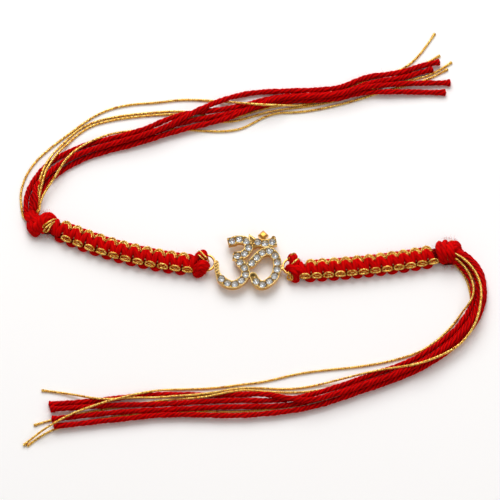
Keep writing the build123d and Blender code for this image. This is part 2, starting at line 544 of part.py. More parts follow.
def make_cord(points, diameter):
    """A round tube along straight runs joined by the largest even arcs."""
    spots = [Vector(*point) for point in points]
    runs = [(after - before).length for before, after in zip(spots, spots[1:])]
    radii = []
    for index in range(1, len(spots) - 1):
        turn = (spots[index] - spots[index - 1]).get_angle(spots[index + 1] - spots[index])
        radii.append(0.45 * min(runs[index - 1], runs[index]) / math.tan(math.radians(turn / 2)))
    path = FilletPolyline(*spots, radius=radii)
    section = Plane(origin=path @ 0, z_dir=path % 0) * Circle(diameter / 2)
    tube = sweep(section, path=path)
    expected = math.pi * diameter ** 2 / 4 * path.length
    return tube, radii, path.length, tube.volume / expected


# Hitch lobes: side at the band's end, how far they reach, side at their tip, diameter.
left_lobes = ((1.3, 2.9, 3.6, 1.7), (-0.1, 2.3, 0.7, 1.5), (-1.4, 3.0, -1.9, 1.8))
right_lobes = ((-1.2, 2.8, -2.5, 1.75), (0.1, 2.3, -0.2, 1.5), (1.3, 2.3, 3.5, 1.7))

# Knot wraps: place along the knot as a share of its length, lean, diameter, share of the full width.
left_wraps = ((-0.38, 8, 1.5, 0.90), (-0.16, -10, 1.45, 1.0), (0.03, -10, 0.6, 1.0), (0.20, -4, 1.45, 0.95),
              (0.365, 4, 1.5, 0.85), (0.485, 4, 1.45, 0.66))
right_wraps = ((-0.33, 4, 1.5, 0.95), (-0.08, -3, 1.5, 1.0), (0.10, 2, 0.6, 0.98), (0.31, 6, 1.5, 0.92))
left_knot_centre = (-55.5, 8.3)
right_knot_centre = (54.9, -0.5)


def build():
    """Every piece under its own name."""
    nodes = {}
    places = stone_places()
    nodes["om_frame"] = make_om_frame(places)
    stone = make_stone()
    for index, (place, way) in enumerate(places):
        turn = math.degrees(math.atan2(way.Y, way.X))
        seated = Pos(place.X, place.Y, om_top - girdle_height + seat_clearance) * Rot(0, 0, turn)
        nodes[f"stone_{index + 1:02d}"] = seated * stone
    nodes["left_band"] = make_band(left_band_line, left_lower_lobe)
    nodes["right_band"] = make_band(right_band_line, right_lower_lobe)
    nodes["left_ring_hitch"] = make_hitch(left_band_line, False, left_ring_centre, left_lobes)
    nodes["right_ring_hitch"] = make_hitch(right_band_line, True, right_ring_centre, right_lobes)
    nodes["left_end_knot"] = make_end_knot("left", left_knot_centre, left_knot_turn, left_knot_length,
                                            left_wraps)
    nodes["right_end_knot"] = make_end_knot("right", right_knot_centre, right_knot_turn, right_knot_length,
                                             right_wraps)
    for name, points in cord_routes.items():
        tube, radii, length, fill = make_cord(points, cord_diameter(name))
        nodes[name] = tube
        print(f"{name}: {length:.1f} mm, volume share {fill:.4f}, least radius {min(radii):.1f} mm")
        print("   radii", " ".join(f"{radius:.0f}" for radius in radii))
    return nodes


os.makedirs("parts", exist_ok=True)
for node_name, shape in build().items():
    export_step(Pos(*origin_shift, 0) * shape, f"parts/{node_name}.step")
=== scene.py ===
import math
import bpy
import numpy as np
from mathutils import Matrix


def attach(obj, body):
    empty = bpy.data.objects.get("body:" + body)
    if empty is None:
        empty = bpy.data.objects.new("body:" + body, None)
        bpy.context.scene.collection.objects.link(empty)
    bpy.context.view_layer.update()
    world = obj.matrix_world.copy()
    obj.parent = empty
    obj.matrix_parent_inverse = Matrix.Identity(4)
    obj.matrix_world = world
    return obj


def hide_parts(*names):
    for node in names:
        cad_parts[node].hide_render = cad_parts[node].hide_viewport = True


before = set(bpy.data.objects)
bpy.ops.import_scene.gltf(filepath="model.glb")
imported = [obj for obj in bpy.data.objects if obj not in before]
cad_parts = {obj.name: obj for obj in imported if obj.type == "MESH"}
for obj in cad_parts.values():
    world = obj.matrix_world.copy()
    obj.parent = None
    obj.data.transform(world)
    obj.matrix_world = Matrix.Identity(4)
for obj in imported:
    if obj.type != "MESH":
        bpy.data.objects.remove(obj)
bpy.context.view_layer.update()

# Table, camera and light
# The bracelet lies on a white sheet, seen from the front and high above, with one large soft
# light behind it and a paler one at the side, so that each shadow falls softly towards the viewer.
scene = bpy.context.scene
scene.view_settings.view_transform = "Standard"
view_height = math.radians(66)
view_width = 0.135
aim = np.array([2.18, 0.07, 1.6]) / 1000
camera_distance = 5.0
camera_data = bpy.data.cameras.new("camera")
camera_data.sensor_width = 36
camera_data.lens = camera_data.sensor_width * camera_distance / view_width
camera_data.clip_start = 0.01
camera = bpy.data.objects.new("camera", camera_data)
camera.location = aim + camera_distance * np.array([0, -math.cos(view_height), math.sin(view_height)])
camera.rotation_euler = (math.pi / 2 - view_height, 0, 0)
scene.collection.objects.link(camera)
scene.camera = camera


def linear(hex_colour):
    """An sRGB hex colour as linear RGBA: each share s becomes ((s + 0.055) / 1.055) to the power 2.4."""
    shares = np.array([int(hex_colour[k:k + 2], 16) for k in (1, 3, 5)]) / 255
    lit = np.where(shares < 0.04045, shares / 12.92, ((shares + 0.055) / 1.055) ** 2.4)
    return (*lit.tolist(), 1.0)


def new_finish(name):
    """A material that holds only its output and one principled shader; gives both back."""
    finish = bpy.data.materials.new(name)
    finish.use_nodes = True
    return finish, finish.node_tree.nodes["Principled BSDF"]


def set_sockets(finish, node, sockets):
    """Each named socket of a node gets a value, or a link from another output."""
    for socket, value in sockets.items():
        if isinstance(value, bpy.types.NodeSocket):
            finish.node_tree.links.new(value, node.inputs[socket])
        else:
            node.inputs[socket].default_value = value


def add_node(finish, kind, sockets=None, stops=(), **settings):
    """One node with its own settings and sockets, and with stops where it is a ramp of colours."""
    made = finish.node_tree.nodes.new(kind)
    for setting, value in settings.items():
        setattr(made, setting, value)
    set_sockets(finish, made, sockets or {})
    for place, _ in stops[1:-1]:
        made.color_ramp.elements.new(place)
    for number, (place, colour) in enumerate(stops):
        made.color_ramp.elements[number].position = place
        made.color_ramp.elements[number].color = linear(colour)
    return made


# Smooth matt paper: a white that is very nearly even, with the faintest tooth.
white_paper, paper_shader = new_finish("white_paper")
paper_place = add_node(white_paper, "ShaderNodeTexCoord")
paper_tooth = add_node(white_paper, "ShaderNodeTexNoise",
                       {"Vector": paper_place.outputs["Object"], "Scale": 900.0, "Detail": 3.0})
paper_bump = add_node(white_paper, "ShaderNodeBump",
                      {"Height": paper_tooth.outputs["Fac"], "Strength": 0.05, "Distance": 0.0001})
set_sockets(white_paper, paper_shader, {
    "Base Color": linear("#fbfafa"), "Roughness": 0.7, "Specular IOR Level": 0.2,
    "Normal": paper_bump.outputs["Normal"]})
sheet_mesh = bpy.data.meshes.new("paper_sheet")
sheet_mesh.from_pydata([(-1.5, -1.5, 0), (1.5, -1.5, 0), (1.5, 1.5, 0), (-1.5, 1.5, 0)], [], [(0, 1, 2, 3)])
paper_sheet = bpy.data.objects.new("paper_sheet", sheet_mesh)
sheet_mesh.materials.append(white_paper)
scene.collection.objects.link(paper_sheet)

for lamp_name, spot, size, power in (("key_light", (-0.05, 0.5, 0.52), 0.5, 4.0),
                                     ("side_light", (0.5, -0.3, 0.5), 0.25, 0.6)):
    lamp_data = bpy.data.lights.new(lamp_name, "AREA")
    lamp_data.size = size
    lamp_data.energy = power
    lamp = bpy.data.objects.new(lamp_name, lamp_data)
    lamp.location = spot
    reach = math.hypot(spot[0], spot[1])
    lamp.rotation_euler = (math.atan2(reach, spot[2]), 0, math.atan2(spot[1], spot[0]) + math.pi / 2)
    scene.collection.objects.link(lamp)

# The room is brightest above and behind, pale in front and dark between the two, which gives metal
# and glass their contrast.
studio = bpy.data.worlds.new("studio")
scene.world = studio
studio.use_nodes = True
room_way = add_node(studio, "ShaderNodeTexCoord")
room_slope = add_node(studio, "ShaderNodeVectorMath",
                      {0: room_way.outputs["Generated"], 1: (0.1, 0.65, 0.75)}, operation="DOT_PRODUCT")
room_ramp = add_node(studio, "ShaderNodeValToRGB", {"Fac": room_slope.outputs["Value"]},
                     stops=((0.0, "#b8b3ac"), (0.42, "#6a645e"), (0.85, "#ffffff")))
set_sockets(studio, studio.node_tree.nodes["Background"],
            {"Color": room_ramp.outputs["Color"], "Strength": 0.86})

# Tying cords
# Four red cotton cords and four gold wrapped threads leave each end knot, lie in one open sweep
# on the table and end where they were cut. Each red cord is four plies laid up right over left.
centre_shift = np.array([1.1, -0.4, 0])
frayed_length = 2.5
fibre_radius = 0.024
least_height = 0.01
# Control points of each line in mm, from the knot to the cut end.
cord_routes = {
    "left_red_cord_1": [
        (-57.3, 11.6, 2.45), (-56.5, 13.8, 3.6), (-57.4, 18.2, 2.9), (-54.1, 22.4, 2.15),
        (-50, 26.1, 2.15), (-43.7, 29.4, 2.15), (-37.3, 31.3, 2.25), (-30.2, 33.3, 2.65),
        (-24.6, 35.1, 2.85), (-20, 37.3, 2.85), (-15.7, 39.9, 2.85), (-11.3, 42.3, 2.75),
        (-7, 44.6, 1.9), (-2.7, 46.5, 1), (2.7, 47.7, 0.7), (9.2, 47.9, 0.9), (15.7, 47.9, 1.35),
        (22.1, 48.2, 1.35), (26.7, 49.1, 1.35), (30.2, 51, 1.35), (33.8, 52.2, 1.35),
        (38.3, 52.7, 1.35), (42.9, 53.5, 1.35), (47.9, 55.5, 1.35), (52.7, 56.5, 1.15),
    ],
    "left_red_cord_2": [
        (-59.4, 11.6, 0.95), (-59.7, 14.8, 0.7), (-58.9, 18.3, 0.7), (-57.2, 22, 0.7), (-54, 26, 0.7),
        (-49.7, 29.1, 0.7), (-43.7, 32, 0.7), (-37.8, 33.6, 0.7), (-31.9, 35, 1.1), (-26.5, 36.8, 1.35),
        (-21.1, 39.5, 1.35), (-16.2, 41.1, 1.35), (-10.8, 41.7, 1.35), (-4.9, 42.6, 1.2),
        (1.1, 44.2, 0.7), (6.5, 45.9, 0.7), (12.4, 46.4, 1.1), (18.9, 46.5, 1.35), (24.8, 47, 1.35),
        (29.2, 48.3, 1.35), (32.9, 50, 1.35), (37.3, 50.9, 1.35), (41.6, 51.6, 1.2), (46.3, 53.1, 0.8),
        (50.8, 54.7, 0.7),
    ],
    "left_red_cord_3": [
        (-56.4, 12.1, 0.95), (-56.6, 15.1, 0.7), (-55.4, 18.6, 0.7), (-52.8, 22, 0.7),
        (-48.9, 25.1, 0.7), (-43.7, 28.1, 0.7), (-37.3, 30.3, 0.7), (-31.3, 31.7, 1),
        (-25.9, 33.4, 1.35), (-20.5, 35.3, 1.35), (-15.1, 36.9, 1.35), (-9.7, 38.2, 1.35),
        (-4.9, 39.5, 1.75), (-0.5, 41.2, 2.4), (4.3, 43.7, 2.45), (9.7, 45.3, 2.55), (15.7, 45.5, 2.7),
        (21.6, 45.8, 2.65), (26.5, 46.6, 2.65), (30.8, 48.1, 2.65), (35.1, 48.8, 2.35),
        (39.4, 49.6, 1.6), (44.3, 50, 1.35), (50.1, 50.3, 1), (55.6, 50.5, 0.7),
    ],
    "left_red_cord_4": [
        (-57.9, 11.8, 0.95), (-58.2, 14.9, 0.7), (-57.1, 18.5, 0.7), (-55, 22, 0.7), (-51.4, 25.5, 0.7),
        (-46.7, 28.7, 0.7), (-41.6, 30.8, 0.7), (-36.2, 32.1, 0.8), (-30.8, 33.4, 1.1),
        (-25.4, 35.2, 1.35), (-20.5, 37.3, 1.35), (-15.1, 39, 1.35), (-9.7, 39.9, 1.4),
        (-4.3, 41.1, 1.25), (1.1, 42.7, 0.75), (6.5, 44.2, 1), (11.9, 44.8, 1.35), (18.9, 45, 1.35),
        (24.8, 45.4, 1.35), (29.2, 46.7, 1.35), (32.9, 47.5, 1.35), (37.3, 47.5, 1.35),
        (42.7, 47.6, 1.25), (48.6, 47.6, 0.8), (54.3, 47.6, 0.7),
    ],
    "left_gold_cord_1": [
        (-60.5, 11.9, 0.45), (-60.8, 14.4, 0.3), (-61, 17.6, 0.3), (-60.3, 20.9, 0.3), (-59, 24.1, 0.3),
        (-56.7, 27.6, 0.3), (-53.5, 30.8, 0.3), (-49.7, 34, 0.3), (-45.9, 37.1, 0.3),
        (-41.6, 40.5, 0.3), (-36.7, 43, 0.3), (-30.8, 44.3, 0.3), (-24.3, 44.7, 0.3),
        (-18.4, 45.6, 0.3), (-12.4, 45.6, 0.3), (-6.5, 45, 0.3), (-2.7, 44.2, 1.6), (1.1, 43, 3.4),
        (5.4, 42.6, 3.7), (10, 43.1, 2.2), (14, 43.6, 0.95), (18.1, 44.6, 0.3), (23.2, 46.3, 0.3),
        (28.1, 48, 0.3), (32.4, 49.9, 0.3), (36.7, 51.2, 0.3), (41.9, 52.7, 0.3), (47.5, 55.6, 0.3),
        (52.7, 58.9, 0.3),
    ],
    "left_gold_cord_2": [
        (-57.2, 11.3, 2.2), (-57.1, 13.6, 2.1), (-56.4, 17.2, 2.6), (-55.8, 20.2, 3.15),
        (-55.1, 23.2, 2.7), (-53.9, 26.3, 2.1), (-51.8, 29.8, 1), (-49, 33.1, 0.3), (-45.9, 36.3, 0.3),
        (-42.1, 38.7, 0.3), (-37.3, 40.2, 0.3), (-31.3, 41.2, 0.3), (-25.4, 41.8, 0.3),
        (-18.9, 42.3, 0.3), (-13.5, 41.7, 0.3), (-8.6, 40.2, 0.3), (-3.8, 39.9, 0.3), (1.1, 41.7, 0.3),
        (5.9, 43.2, 0.3), (10.8, 44.1, 0.3), (15.7, 45.7, 0.3), (21.1, 47.2, 0.3), (27, 49.1, 0.3),
        (32.9, 51.7, 0.3), (37.8, 53.2, 0.3), (41.9, 54.4, 0.3), (45.2, 56.8, 0.3), (48.7, 61.1, 0.3),
        (51.3, 65.5, 0.3),
    ],
    "left_gold_cord_3": [
        (-56.5, 11.4, 2.1), (-56.3, 13.6, 2.0), (-55.7, 17.2, 2.6), (-55, 20.2, 3.15),
        (-54.3, 23, 3.15), (-53, 25.8, 2.5), (-50.9, 29.3, 1.6), (-48.4, 32.4, 0.45),
        (-45.5, 35.3, 0.3), (-41.9, 37.9, 0.3), (-37, 39.4, 0.3), (-31.1, 40.4, 0.3), (-25.4, 41, 0.3),
        (-19.4, 41.4, 0.3), (-14.3, 40.4, 0.3), (-9.2, 39, 0.3), (-3.8, 39, 0.3), (1.1, 40.4, 0.3),
        (5.9, 42, 0.3), (11.3, 43, 0.3), (16.7, 43.6, 0.3), (22.1, 44.7, 0.3), (27, 46, 0.3),
        (31.9, 47.9, 0.3), (36.7, 49.5, 0.3), (41.5, 50.8, 0.3), (45.8, 51.7, 0.3), (51.4, 53.5, 0.3),
        (55.9, 56.9, 0.3),
    ],
    "left_gold_cord_4": [
        (-55.9, 11.6, 2.0), (-55.8, 14.2, 2.0), (-54.2, 17.7, 2.3), (-52.2, 20.7, 2.7),
        (-50.6, 23.5, 3.2), (-48.9, 26.3, 3.4), (-46.7, 29.1, 2.8), (-43.7, 31.6, 1.95),
        (-40.5, 33.3, 1.85), (-36.7, 35.3, 0.75), (-32.4, 36.2, 0.3), (-28.1, 36.7, 0.3),
        (-23.8, 36.9, 0.3), (-18.9, 37, 0.3), (-12.5, 36.4, 0.3), (-6.5, 36.1, 0.3), (-1.6, 36.8, 0.3),
        (1.6, 38.5, 0.3), (4.9, 40.5, 0.3), (8.6, 41.8, 0.3), (13.5, 41.8, 0.3), (18.9, 42.6, 0.3),
        (24.8, 44, 0.3), (30.8, 45.8, 0.3), (36.1, 47.7, 0.3), (41, 49.2, 0.3), (45.6, 50.4, 0.3),
        (50.8, 52.3, 0.3), (54.8, 54.8, 0.3),
    ],
    "right_red_cord_1": [
        (56.9, -3.3, 1.6), (58.6, -4.7, 1.35), (60, -6.7, 1.35), (61.1, -9.2, 1.35), (61.4, -12, 1.35),
        (61.1, -14.8, 1.35), (60.1, -17.4, 1.35), (58.5, -20.2, 1.35), (56.2, -23.2, 1.35),
        (52.9, -26.3, 1.35), (49.1, -29.2, 1.35), (44.6, -32, 1.35), (39.7, -34.1, 1.35),
        (34.5, -35.9, 1.35), (29.2, -38, 1.35), (23.8, -40, 1.35), (18.4, -41.8, 1.35),
        (13, -43.2, 1.35), (7, -43.8, 1.35), (0.5, -43.7, 1.35), (-5.9, -43.8, 1.35),
        (-12.4, -44.1, 1.35), (-18.9, -44.6, 1.35), (-25.4, -44.9, 1.35), (-32.4, -45, 1.35),
        (-39.4, -45.3, 1.35), (-46.2, -45.9, 1.35), (-52.8, -46.3, 1.35),
    ],
    "right_red_cord_2": [
        (57.7, -1.8, 1.6), (59.6, -3.2, 1.35), (61.3, -5.4, 1.35), (62.5, -8.3, 1.35),
        (62.9, -11.5, 1.35), (62.6, -14.8, 1.35), (61.6, -17.9, 1.35), (59.8, -21.1, 1.35),
        (57.3, -24.2, 1.35), (54, -27.5, 1.35), (50.1, -30.5, 1.35), (45.4, -33.5, 1.35),
        (40.5, -35.5, 1.35), (35.4, -37.5, 1.35), (29.9, -39.4, 1.35), (24.6, -41.5, 1.35),
        (19.2, -43.3, 1.35), (13.5, -44.8, 1.35), (7.6, -45.5, 1.35), (0.5, -45.5, 1.35),
        (-6.5, -45.7, 1.35), (-13.5, -46, 1.35), (-20, -46.4, 1.35), (-25.9, -46.6, 1.35),
        (-32.4, -47, 1.35), (-39.4, -47.7, 1.35), (-45.9, -48.5, 1.35), (-52.4, -49.2, 1.35),
    ],
    "right_red_cord_3": [
        (58.5, -0.4, 1.6), (60.5, -1.8, 1.35), (62.5, -4.1, 1.35), (63.9, -7.4, 1.35),
        (64.4, -11.2, 1.35), (64.1, -14.9, 1.35), (63, -18.5, 1.35), (61.1, -22.1, 1.35),
        (58.4, -25.5, 1.35), (55, -28.8, 1.35), (51, -31.9, 1.35), (46.2, -34.9, 1.35),
        (41.3, -37.1, 1.35), (36.2, -39.2, 1.35), (30.7, -41.1, 1.35), (25.4, -43.2, 1.35),
        (19.7, -45.1, 1.35), (14, -46.5, 1.35), (7.6, -47.4, 1.35), (0.5, -48.1, 1.35),
        (-6.5, -48.2, 1.35), (-13.5, -47.9, 1.35), (-20, -47.9, 1.35), (-25.9, -48.2, 1.35),
        (-32.3, -49.1, 1.35), (-39.2, -49.8, 1.35), (-45.6, -50.7, 1.35), (-51.8, -51.3, 1.35),
    ],
    "right_red_cord_4": [
        (58.6, -1.7, 2.95), (60.8, -3.1, 2.7), (62.5, -5.7, 2.7), (63.7, -8.9, 2.7), (63.9, -12.1, 2.7),
        (63.5, -15.4, 2.7), (62.5, -18.5, 2.7), (60.6, -21.7, 2.7), (57.9, -24.9, 2.7),
        (54.6, -28.1, 2.7), (50.5, -31.2, 2.7), (45.8, -34.1, 2.7), (40.9, -36.3, 2.7),
        (35.8, -38.3, 2.7), (30.4, -40.3, 2.7), (25, -42.2, 2.7), (19.4, -43.9, 2.8),
        (14.9, -44.4, 2.85), (10.3, -43.5, 2.9), (5.9, -42.4, 2.4), (1.6, -41.8, 1.25),
        (-2.7, -41.8, 0.75), (-9.7, -41.9, 0.7), (-17.3, -41.7, 0.7), (-24.3, -41.7, 0.7),
        (-31.3, -42.3, 0.7), (-38.3, -43.3, 0.7), (-45.9, -44.1, 0.7), (-53.2, -44.6, 0.7),
    ],
    "right_gold_cord_1": [
        (56.3, -1.2, 3.2), (58.2, -2.5, 3.6), (60.1, -4.3, 3.75), (61.7, -6.5, 3.75),
        (62.9, -9.2, 3.75), (63.5, -12.3, 3.75), (63.3, -15.7, 3.75), (62.7, -19.3, 3.75),
        (61.5, -22.6, 3.3), (59.4, -25.9, 2.8), (56.8, -28.5, 2.5), (53.5, -30.6, 2.8),
        (49.7, -32.7, 3.5), (45.6, -34.2, 3.8), (41.6, -34.8, 3.4), (37.8, -35, 2.6),
        (33.5, -35.7, 2.25), (28.6, -36.7, 1.5), (23.8, -37.8, 0.9), (18.9, -38.9, 0.35),
        (14, -39.8, 0.3), (9.2, -40, 0.3), (5, -39.7, 0.3), (0.5, -39.6, 0.3), (-3.2, -40, 0.7),
        (-7, -41.3, 1.8), (-10.8, -41.9, 1.8), (-15.1, -42.4, 1.8), (-19.4, -42.7, 1.8),
        (-23.8, -43.1, 1.8), (-28.1, -43.1, 1.8), (-32.4, -43.2, 1.8), (-36.7, -43.6, 1.8),
        (-41, -43.3, 1.8), (-45.4, -42, 0.8), (-50.4, -40.9, 0.3), (-55.1, -40.3, 0.3),
    ],
    "right_gold_cord_2": [
        (56.3, -2.4, 3), (57.9, -3.5, 2.6), (59.5, -5.5, 2.4), (60.8, -8, 2.4), (61.5, -11, 2.4),
        (61.2, -13.6, 2.4), (60.1, -15.7, 2.3), (58.7, -17.2, 1.3), (57.3, -19, 0.5),
        (55.7, -21.2, 0.3), (53.6, -23.6, 0.3), (51.2, -25.9, 0.3), (48.3, -28.1, 0.3),
        (45.2, -29.7, 0.3), (41.9, -30.8, 0.3), (37.8, -32, 0.3), (33.2, -32.9, 0.3),
        (28.1, -33.7, 0.3), (22.7, -34.2, 0.3), (17.3, -34.9, 0.3), (12.4, -35.8, 0.3),
        (7.8, -37.1, 0.3), (3.2, -38.1, 0.3), (-1.2, -38.6, 0.3), (-5.4, -39.3, 0.3),
        (-10.3, -39.8, 0.3), (-15.1, -40, 0.3), (-20, -40.1, 0.3), (-23.8, -40.7, 1.2),
        (-27, -41.5, 1.85), (-30.2, -42.3, 2.15), (-33.5, -43.4, 2.5), (-36.7, -44.3, 2.5),
        (-40.2, -45.5, 2.6), (-43.7, -46.8, 2.5), (-47.5, -48.4, 2.45), (-51, -50.5, 2.5),
        (-54.3, -52.4, 1.95), (-57.2, -54.4, 0.9), (-59.9, -56.5, 0.35),
    ],
    "right_gold_cord_3": [
        (56.1, -3, 0.7), (57.3, -4.3, 0.45), (58.8, -6.2, 0.3), (59.9, -8.7, 0.3), (60.5, -11.5, 0.3),
        (60.8, -14.2, 0.3), (60.2, -17, 0.3), (58.9, -19.6, 0.3), (56.8, -22.4, 0.3),
        (54.3, -25.2, 0.3), (51.2, -27.8, 0.3), (47.5, -30.2, 0.3), (43.2, -32.3, 0.3),
        (38.9, -34.3, 0.3), (34, -35.9, 0.3), (29.2, -37.7, 0.3), (24.3, -39.4, 0.3),
        (19.4, -40.4, 0.3), (14.6, -40.9, 0.3), (10.3, -41, 0.3), (5.4, -40.7, 0.3), (1.1, -40.4, 0.6),
        (-2.4, -40.9, 1.5), (-6.5, -41.9, 1.9), (-10.8, -42.9, 1.85), (-14.6, -43.3, 1.7),
        (-18.6, -43.2, 0.95), (-22.7, -43.3, 0.3), (-27, -44, 0.3), (-31.3, -44.8, 0.3),
        (-36.2, -45.5, 0.3), (-41, -46.4, 0.3), (-45.4, -47.3, 0.3), (-49.4, -48.4, 0.3),
        (-53.5, -49.3, 0.3), (-57.1, -50.6, 0.3),
    ],
    "right_gold_cord_4": [
        (57.4, -1.8, 0.5), (59.2, -3.4, 0.3), (61, -5.9, 0.3), (62.4, -8.8, 0.3), (63.2, -12, 0.3),
        (63.5, -15.1, 0.3), (63, -18.2, 0.3), (61.7, -21.3, 0.3), (59.4, -24.7, 0.3),
        (56.4, -27.8, 0.3), (52.7, -30.6, 0.3), (48.6, -32.8, 0.3), (44, -34.6, 0.3),
        (39.3, -36.2, 0.3), (34.6, -38.1, 0.3), (29.7, -39.9, 0.3), (24.7, -41.4, 0.3),
        (19.4, -43.3, 0.3), (14, -44.7, 0.3), (8.1, -45.6, 0.3), (1.6, -46.4, 0.3), (-4.9, -46.6, 0.3),
        (-11.3, -46.4, 0.3), (-17.9, -46.5, 0.3), (-24.3, -46.8, 0.3), (-30.8, -47.4, 0.3),
        (-37.3, -48.4, 0.3), (-43.5, -49.5, 0.3), (-48.9, -50.7, 0.3), (-52.9, -52.3, 0.3),
        (-56.1, -54.4, 0.3), (-58.9, -56.7, 0.3),
    ],
}


def laid_line(name, route):
    """The line on which a cord lies, in mm: a spline of order 3 with the route's points as controls."""
    curve = bpy.data.curves.new(name, "CURVE")
    curve.dimensions = "3D"
    curve.resolution_u = 10
    spline = curve.splines.new("NURBS")
    spline.points.add(len(route) - 1)
    spots = (np.array(route) + centre_shift) / 1000
    spline.points.foreach_set("co", np.column_stack([spots, np.ones(len(spots))]).ravel())
    spline.order_u = 3
    spline.use_endpoint_u = True
    guide = bpy.data.objects.new(name, curve)
    read = bpy.data.meshes.new_from_object(guide)
    line = np.zeros(3 * len(read.vertices))
    read.vertices.foreach_get("co", line)
    bpy.data.objects.remove(guide)
    bpy.data.curves.remove(curve)
    bpy.data.meshes.remove(read)
    return line.reshape(-1, 3) * 1000


def even_line(line, step):
    """The same line with its points at even steps, and the length run at each of them."""
    run = np.concatenate([[0], np.cumsum(np.linalg.norm(np.diff(line, axis=0), axis=1))])
    at = np.linspace(0, run[-1], max(int(round(run[-1] / step)), 8) + 1)
    return np.column_stack([np.interp(at, run, line[:, k]) for k in range(3)]), at


def cross_ways(line):
    """Way, side and up at each point: side is the way crossed with the direction that the line keeps
    clear of most, and up is side crossed with the way."""
    way = np.gradient(line, axis=0)
    way /= np.linalg.norm(way, axis=1)[:, None]
    lean = np.linalg.svd(way, full_matrices=False)[2][-1]
    lean = lean if lean[2] >= 0 else -lean
    side = np.cross(way, lean)
    side /= np.linalg.norm(side, axis=1)[:, None]
    return way, side, np.cross(side, way)


def strand(line, radius, plies=3, pitch=3.0, groove=0.3, around=18, step=0.25, tip=0.5, turn=0.0, swell=0.0,
           uneven=0.0, flare=0.0, crowns=(0.0, 1.0)):
    """A twisted strand closed at both ends. At length s and angle a its radius is
    R (1 - groove (1 - |cos(plies (a - 2 pi s / pitch - turn) / 2)|)), where R grows by the share swell
    at mid length, by the share flare towards a frayed end, wavers by the share uneven, and falls to
    nothing as a quarter circle over the last tip mm. No point sinks into the table.
    Gives points, quads, triangles, how far each point is up its ply, as a share between the two
    crowns, which the finishes turn into painted shade in the grooves and painted light on the ply ridges, and
    its place untwisted."""
    line, run = even_line(line, step)
    side, up = cross_ways(line)[1:]
    left = np.clip(np.minimum(run, run[-1] - run) / tip, 0, 1)
    waver = np.sin(run * 0.9 + turn) * 0.6 + np.sin(run * 2.3 + 2.1 * turn) * 0.4
    frayed = np.clip(1 - (run[-1] - run) / frayed_length, 0, 1)
    size = radius * np.sqrt(1 - (1 - left) ** 2) * (1 + swell * np.sin(np.pi * run / run[-1])
                                                    + uneven * waver + flare * frayed ** 1.5)
    angle = np.arange(around) * 2 * np.pi / around
    own = angle[None, :] - (turn + 2 * np.pi * run / pitch + 6 * uneven * waver)[:, None]
    lobe = np.abs(np.cos(plies * own / 2))
    reach = size[:, None] * (1 - groove * (1 - lobe))
    spots = line[:, None] + reach[..., None] * (np.cos(angle)[None, :, None] * side[:, None]
                                                + np.sin(angle)[None, :, None] * up[:, None])
    spots[..., 2] = np.maximum(spots[..., 2], least_height)
    straight = np.stack([reach * np.cos(own), reach * np.sin(own), np.repeat(run[:, None], around, 1)], 2)
    rings = len(run) - 2
    points = np.vstack([spots[1:-1].reshape(-1, 3), line[0], line[-1]])
    straight = np.vstack([straight[1:-1].reshape(-1, 3), [0, 0, 0], [0, 0, run[-1]]])
    crown = crowns[0] + (crowns[1] - crowns[0]) * np.concatenate([lobe[1:-1].ravel(), [1, 1]])
    here = np.arange(rings * around).reshape(rings, around)
    then = np.roll(here, -1, axis=1)
    quads = np.stack([here[:-1], here[1:], then[1:], then[:-1]], 2).reshape(-1, 4)
    first = np.column_stack([np.full(around, rings * around), here[0], then[0]])
    last = np.column_stack([np.full(around, rings * around + 1), then[-1], here[-1]])
    return points, quads, np.vstack([first, last]), crown, straight


def stray_fibres(line, radius, count, length, spread, seed):
    """Fine fibres that stand off a strand: each starts on its surface at a random length and angle,
    leans along it by the share 1 - spread, bends back by a random amount and thins to a point."""
    chance = np.random.default_rng(seed)
    line, run = even_line(line, 0.2)
    way, side, up = cross_ways(line)
    at = chance.integers(1, len(run) - 1, count)
    angle = chance.uniform(-0.3, np.pi + 0.3, count)
    out = np.cos(angle)[:, None] * side[at] + np.sin(angle)[:, None] * up[at]
    lean = way[at] * chance.choice([-1, 1], count)[:, None]
    long = (length * chance.uniform(0.4, 1.3, count))[:, None]
    bend = chance.normal(0, 0.35, (count, 3))
    share = np.array([0, 0.35, 0.7, 1.0])
    heart = (line[at] + out * radius * 0.85)[:, None] + share[None, :, None] * (
        long * (out * spread + lean * (1 - spread)))[:, None] + (
        share ** 2)[None, :, None] * (long * bend)[:, None]
    thick = fibre_radius * (1 - 0.9 * share)
    turn = np.arange(3) * 2 * np.pi / 3
    spare = np.cross(out, lean)
    ring = np.cos(turn)[None, :, None] * spare[:, None] + np.sin(turn)[None, :, None] * np.cross(
        spare, out)[:, None]
    points = heart[:, :, None] + thick[None, :, None, None] * ring[:, None]
    points[..., 2] = np.maximum(points[..., 2], least_height * 2)
    here = np.arange(count * 12).reshape(count, 4, 3)
    then = np.roll(here, -1, axis=2)
    quads = np.stack([here[:, :-1], here[:, 1:], then[:, 1:], then[:, :-1]], 3).reshape(-1, 4)
    ends = np.vstack([here[:, 0], here[:, -1, ::-1]])
    points = points.reshape(-1, 3)
    return points, quads, ends, np.ones(len(points)), points.copy()


def woven_piece(name, parts, finish):
    """One mesh of closed surfaces, with the two weaving values of each kept as attributes: how far up its ply
    each point is, which the finishes turn into painted shade and painted highlights, and its place untwisted.
    """
    starts = np.cumsum([0] + [len(part[0]) for part in parts])
    points = np.vstack([part[0] for part in parts]) / 1000
    quads = np.vstack([part[1] + start for part, start in zip(parts, starts)])
    fans = np.vstack([part[2] + start for part, start in zip(parts, starts)])
    mesh = bpy.data.meshes.new(name)
    mesh.from_pydata(points.tolist(), [], quads.tolist() + fans.tolist())
    mesh.attributes.new("crown", "FLOAT", "POINT").data.foreach_set(
        "value", np.concatenate([part[3] for part in parts]))
    mesh.attributes.new("straight", "FLOAT_VECTOR", "POINT").data.foreach_set(
        "vector", np.vstack([part[4] for part in parts]).ravel())
    mesh.shade_smooth()
    mesh.materials.append(finish)
    made = bpy.data.objects.new(name, mesh)
    scene.collection.objects.link(made)
    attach(made, "root")
    return made
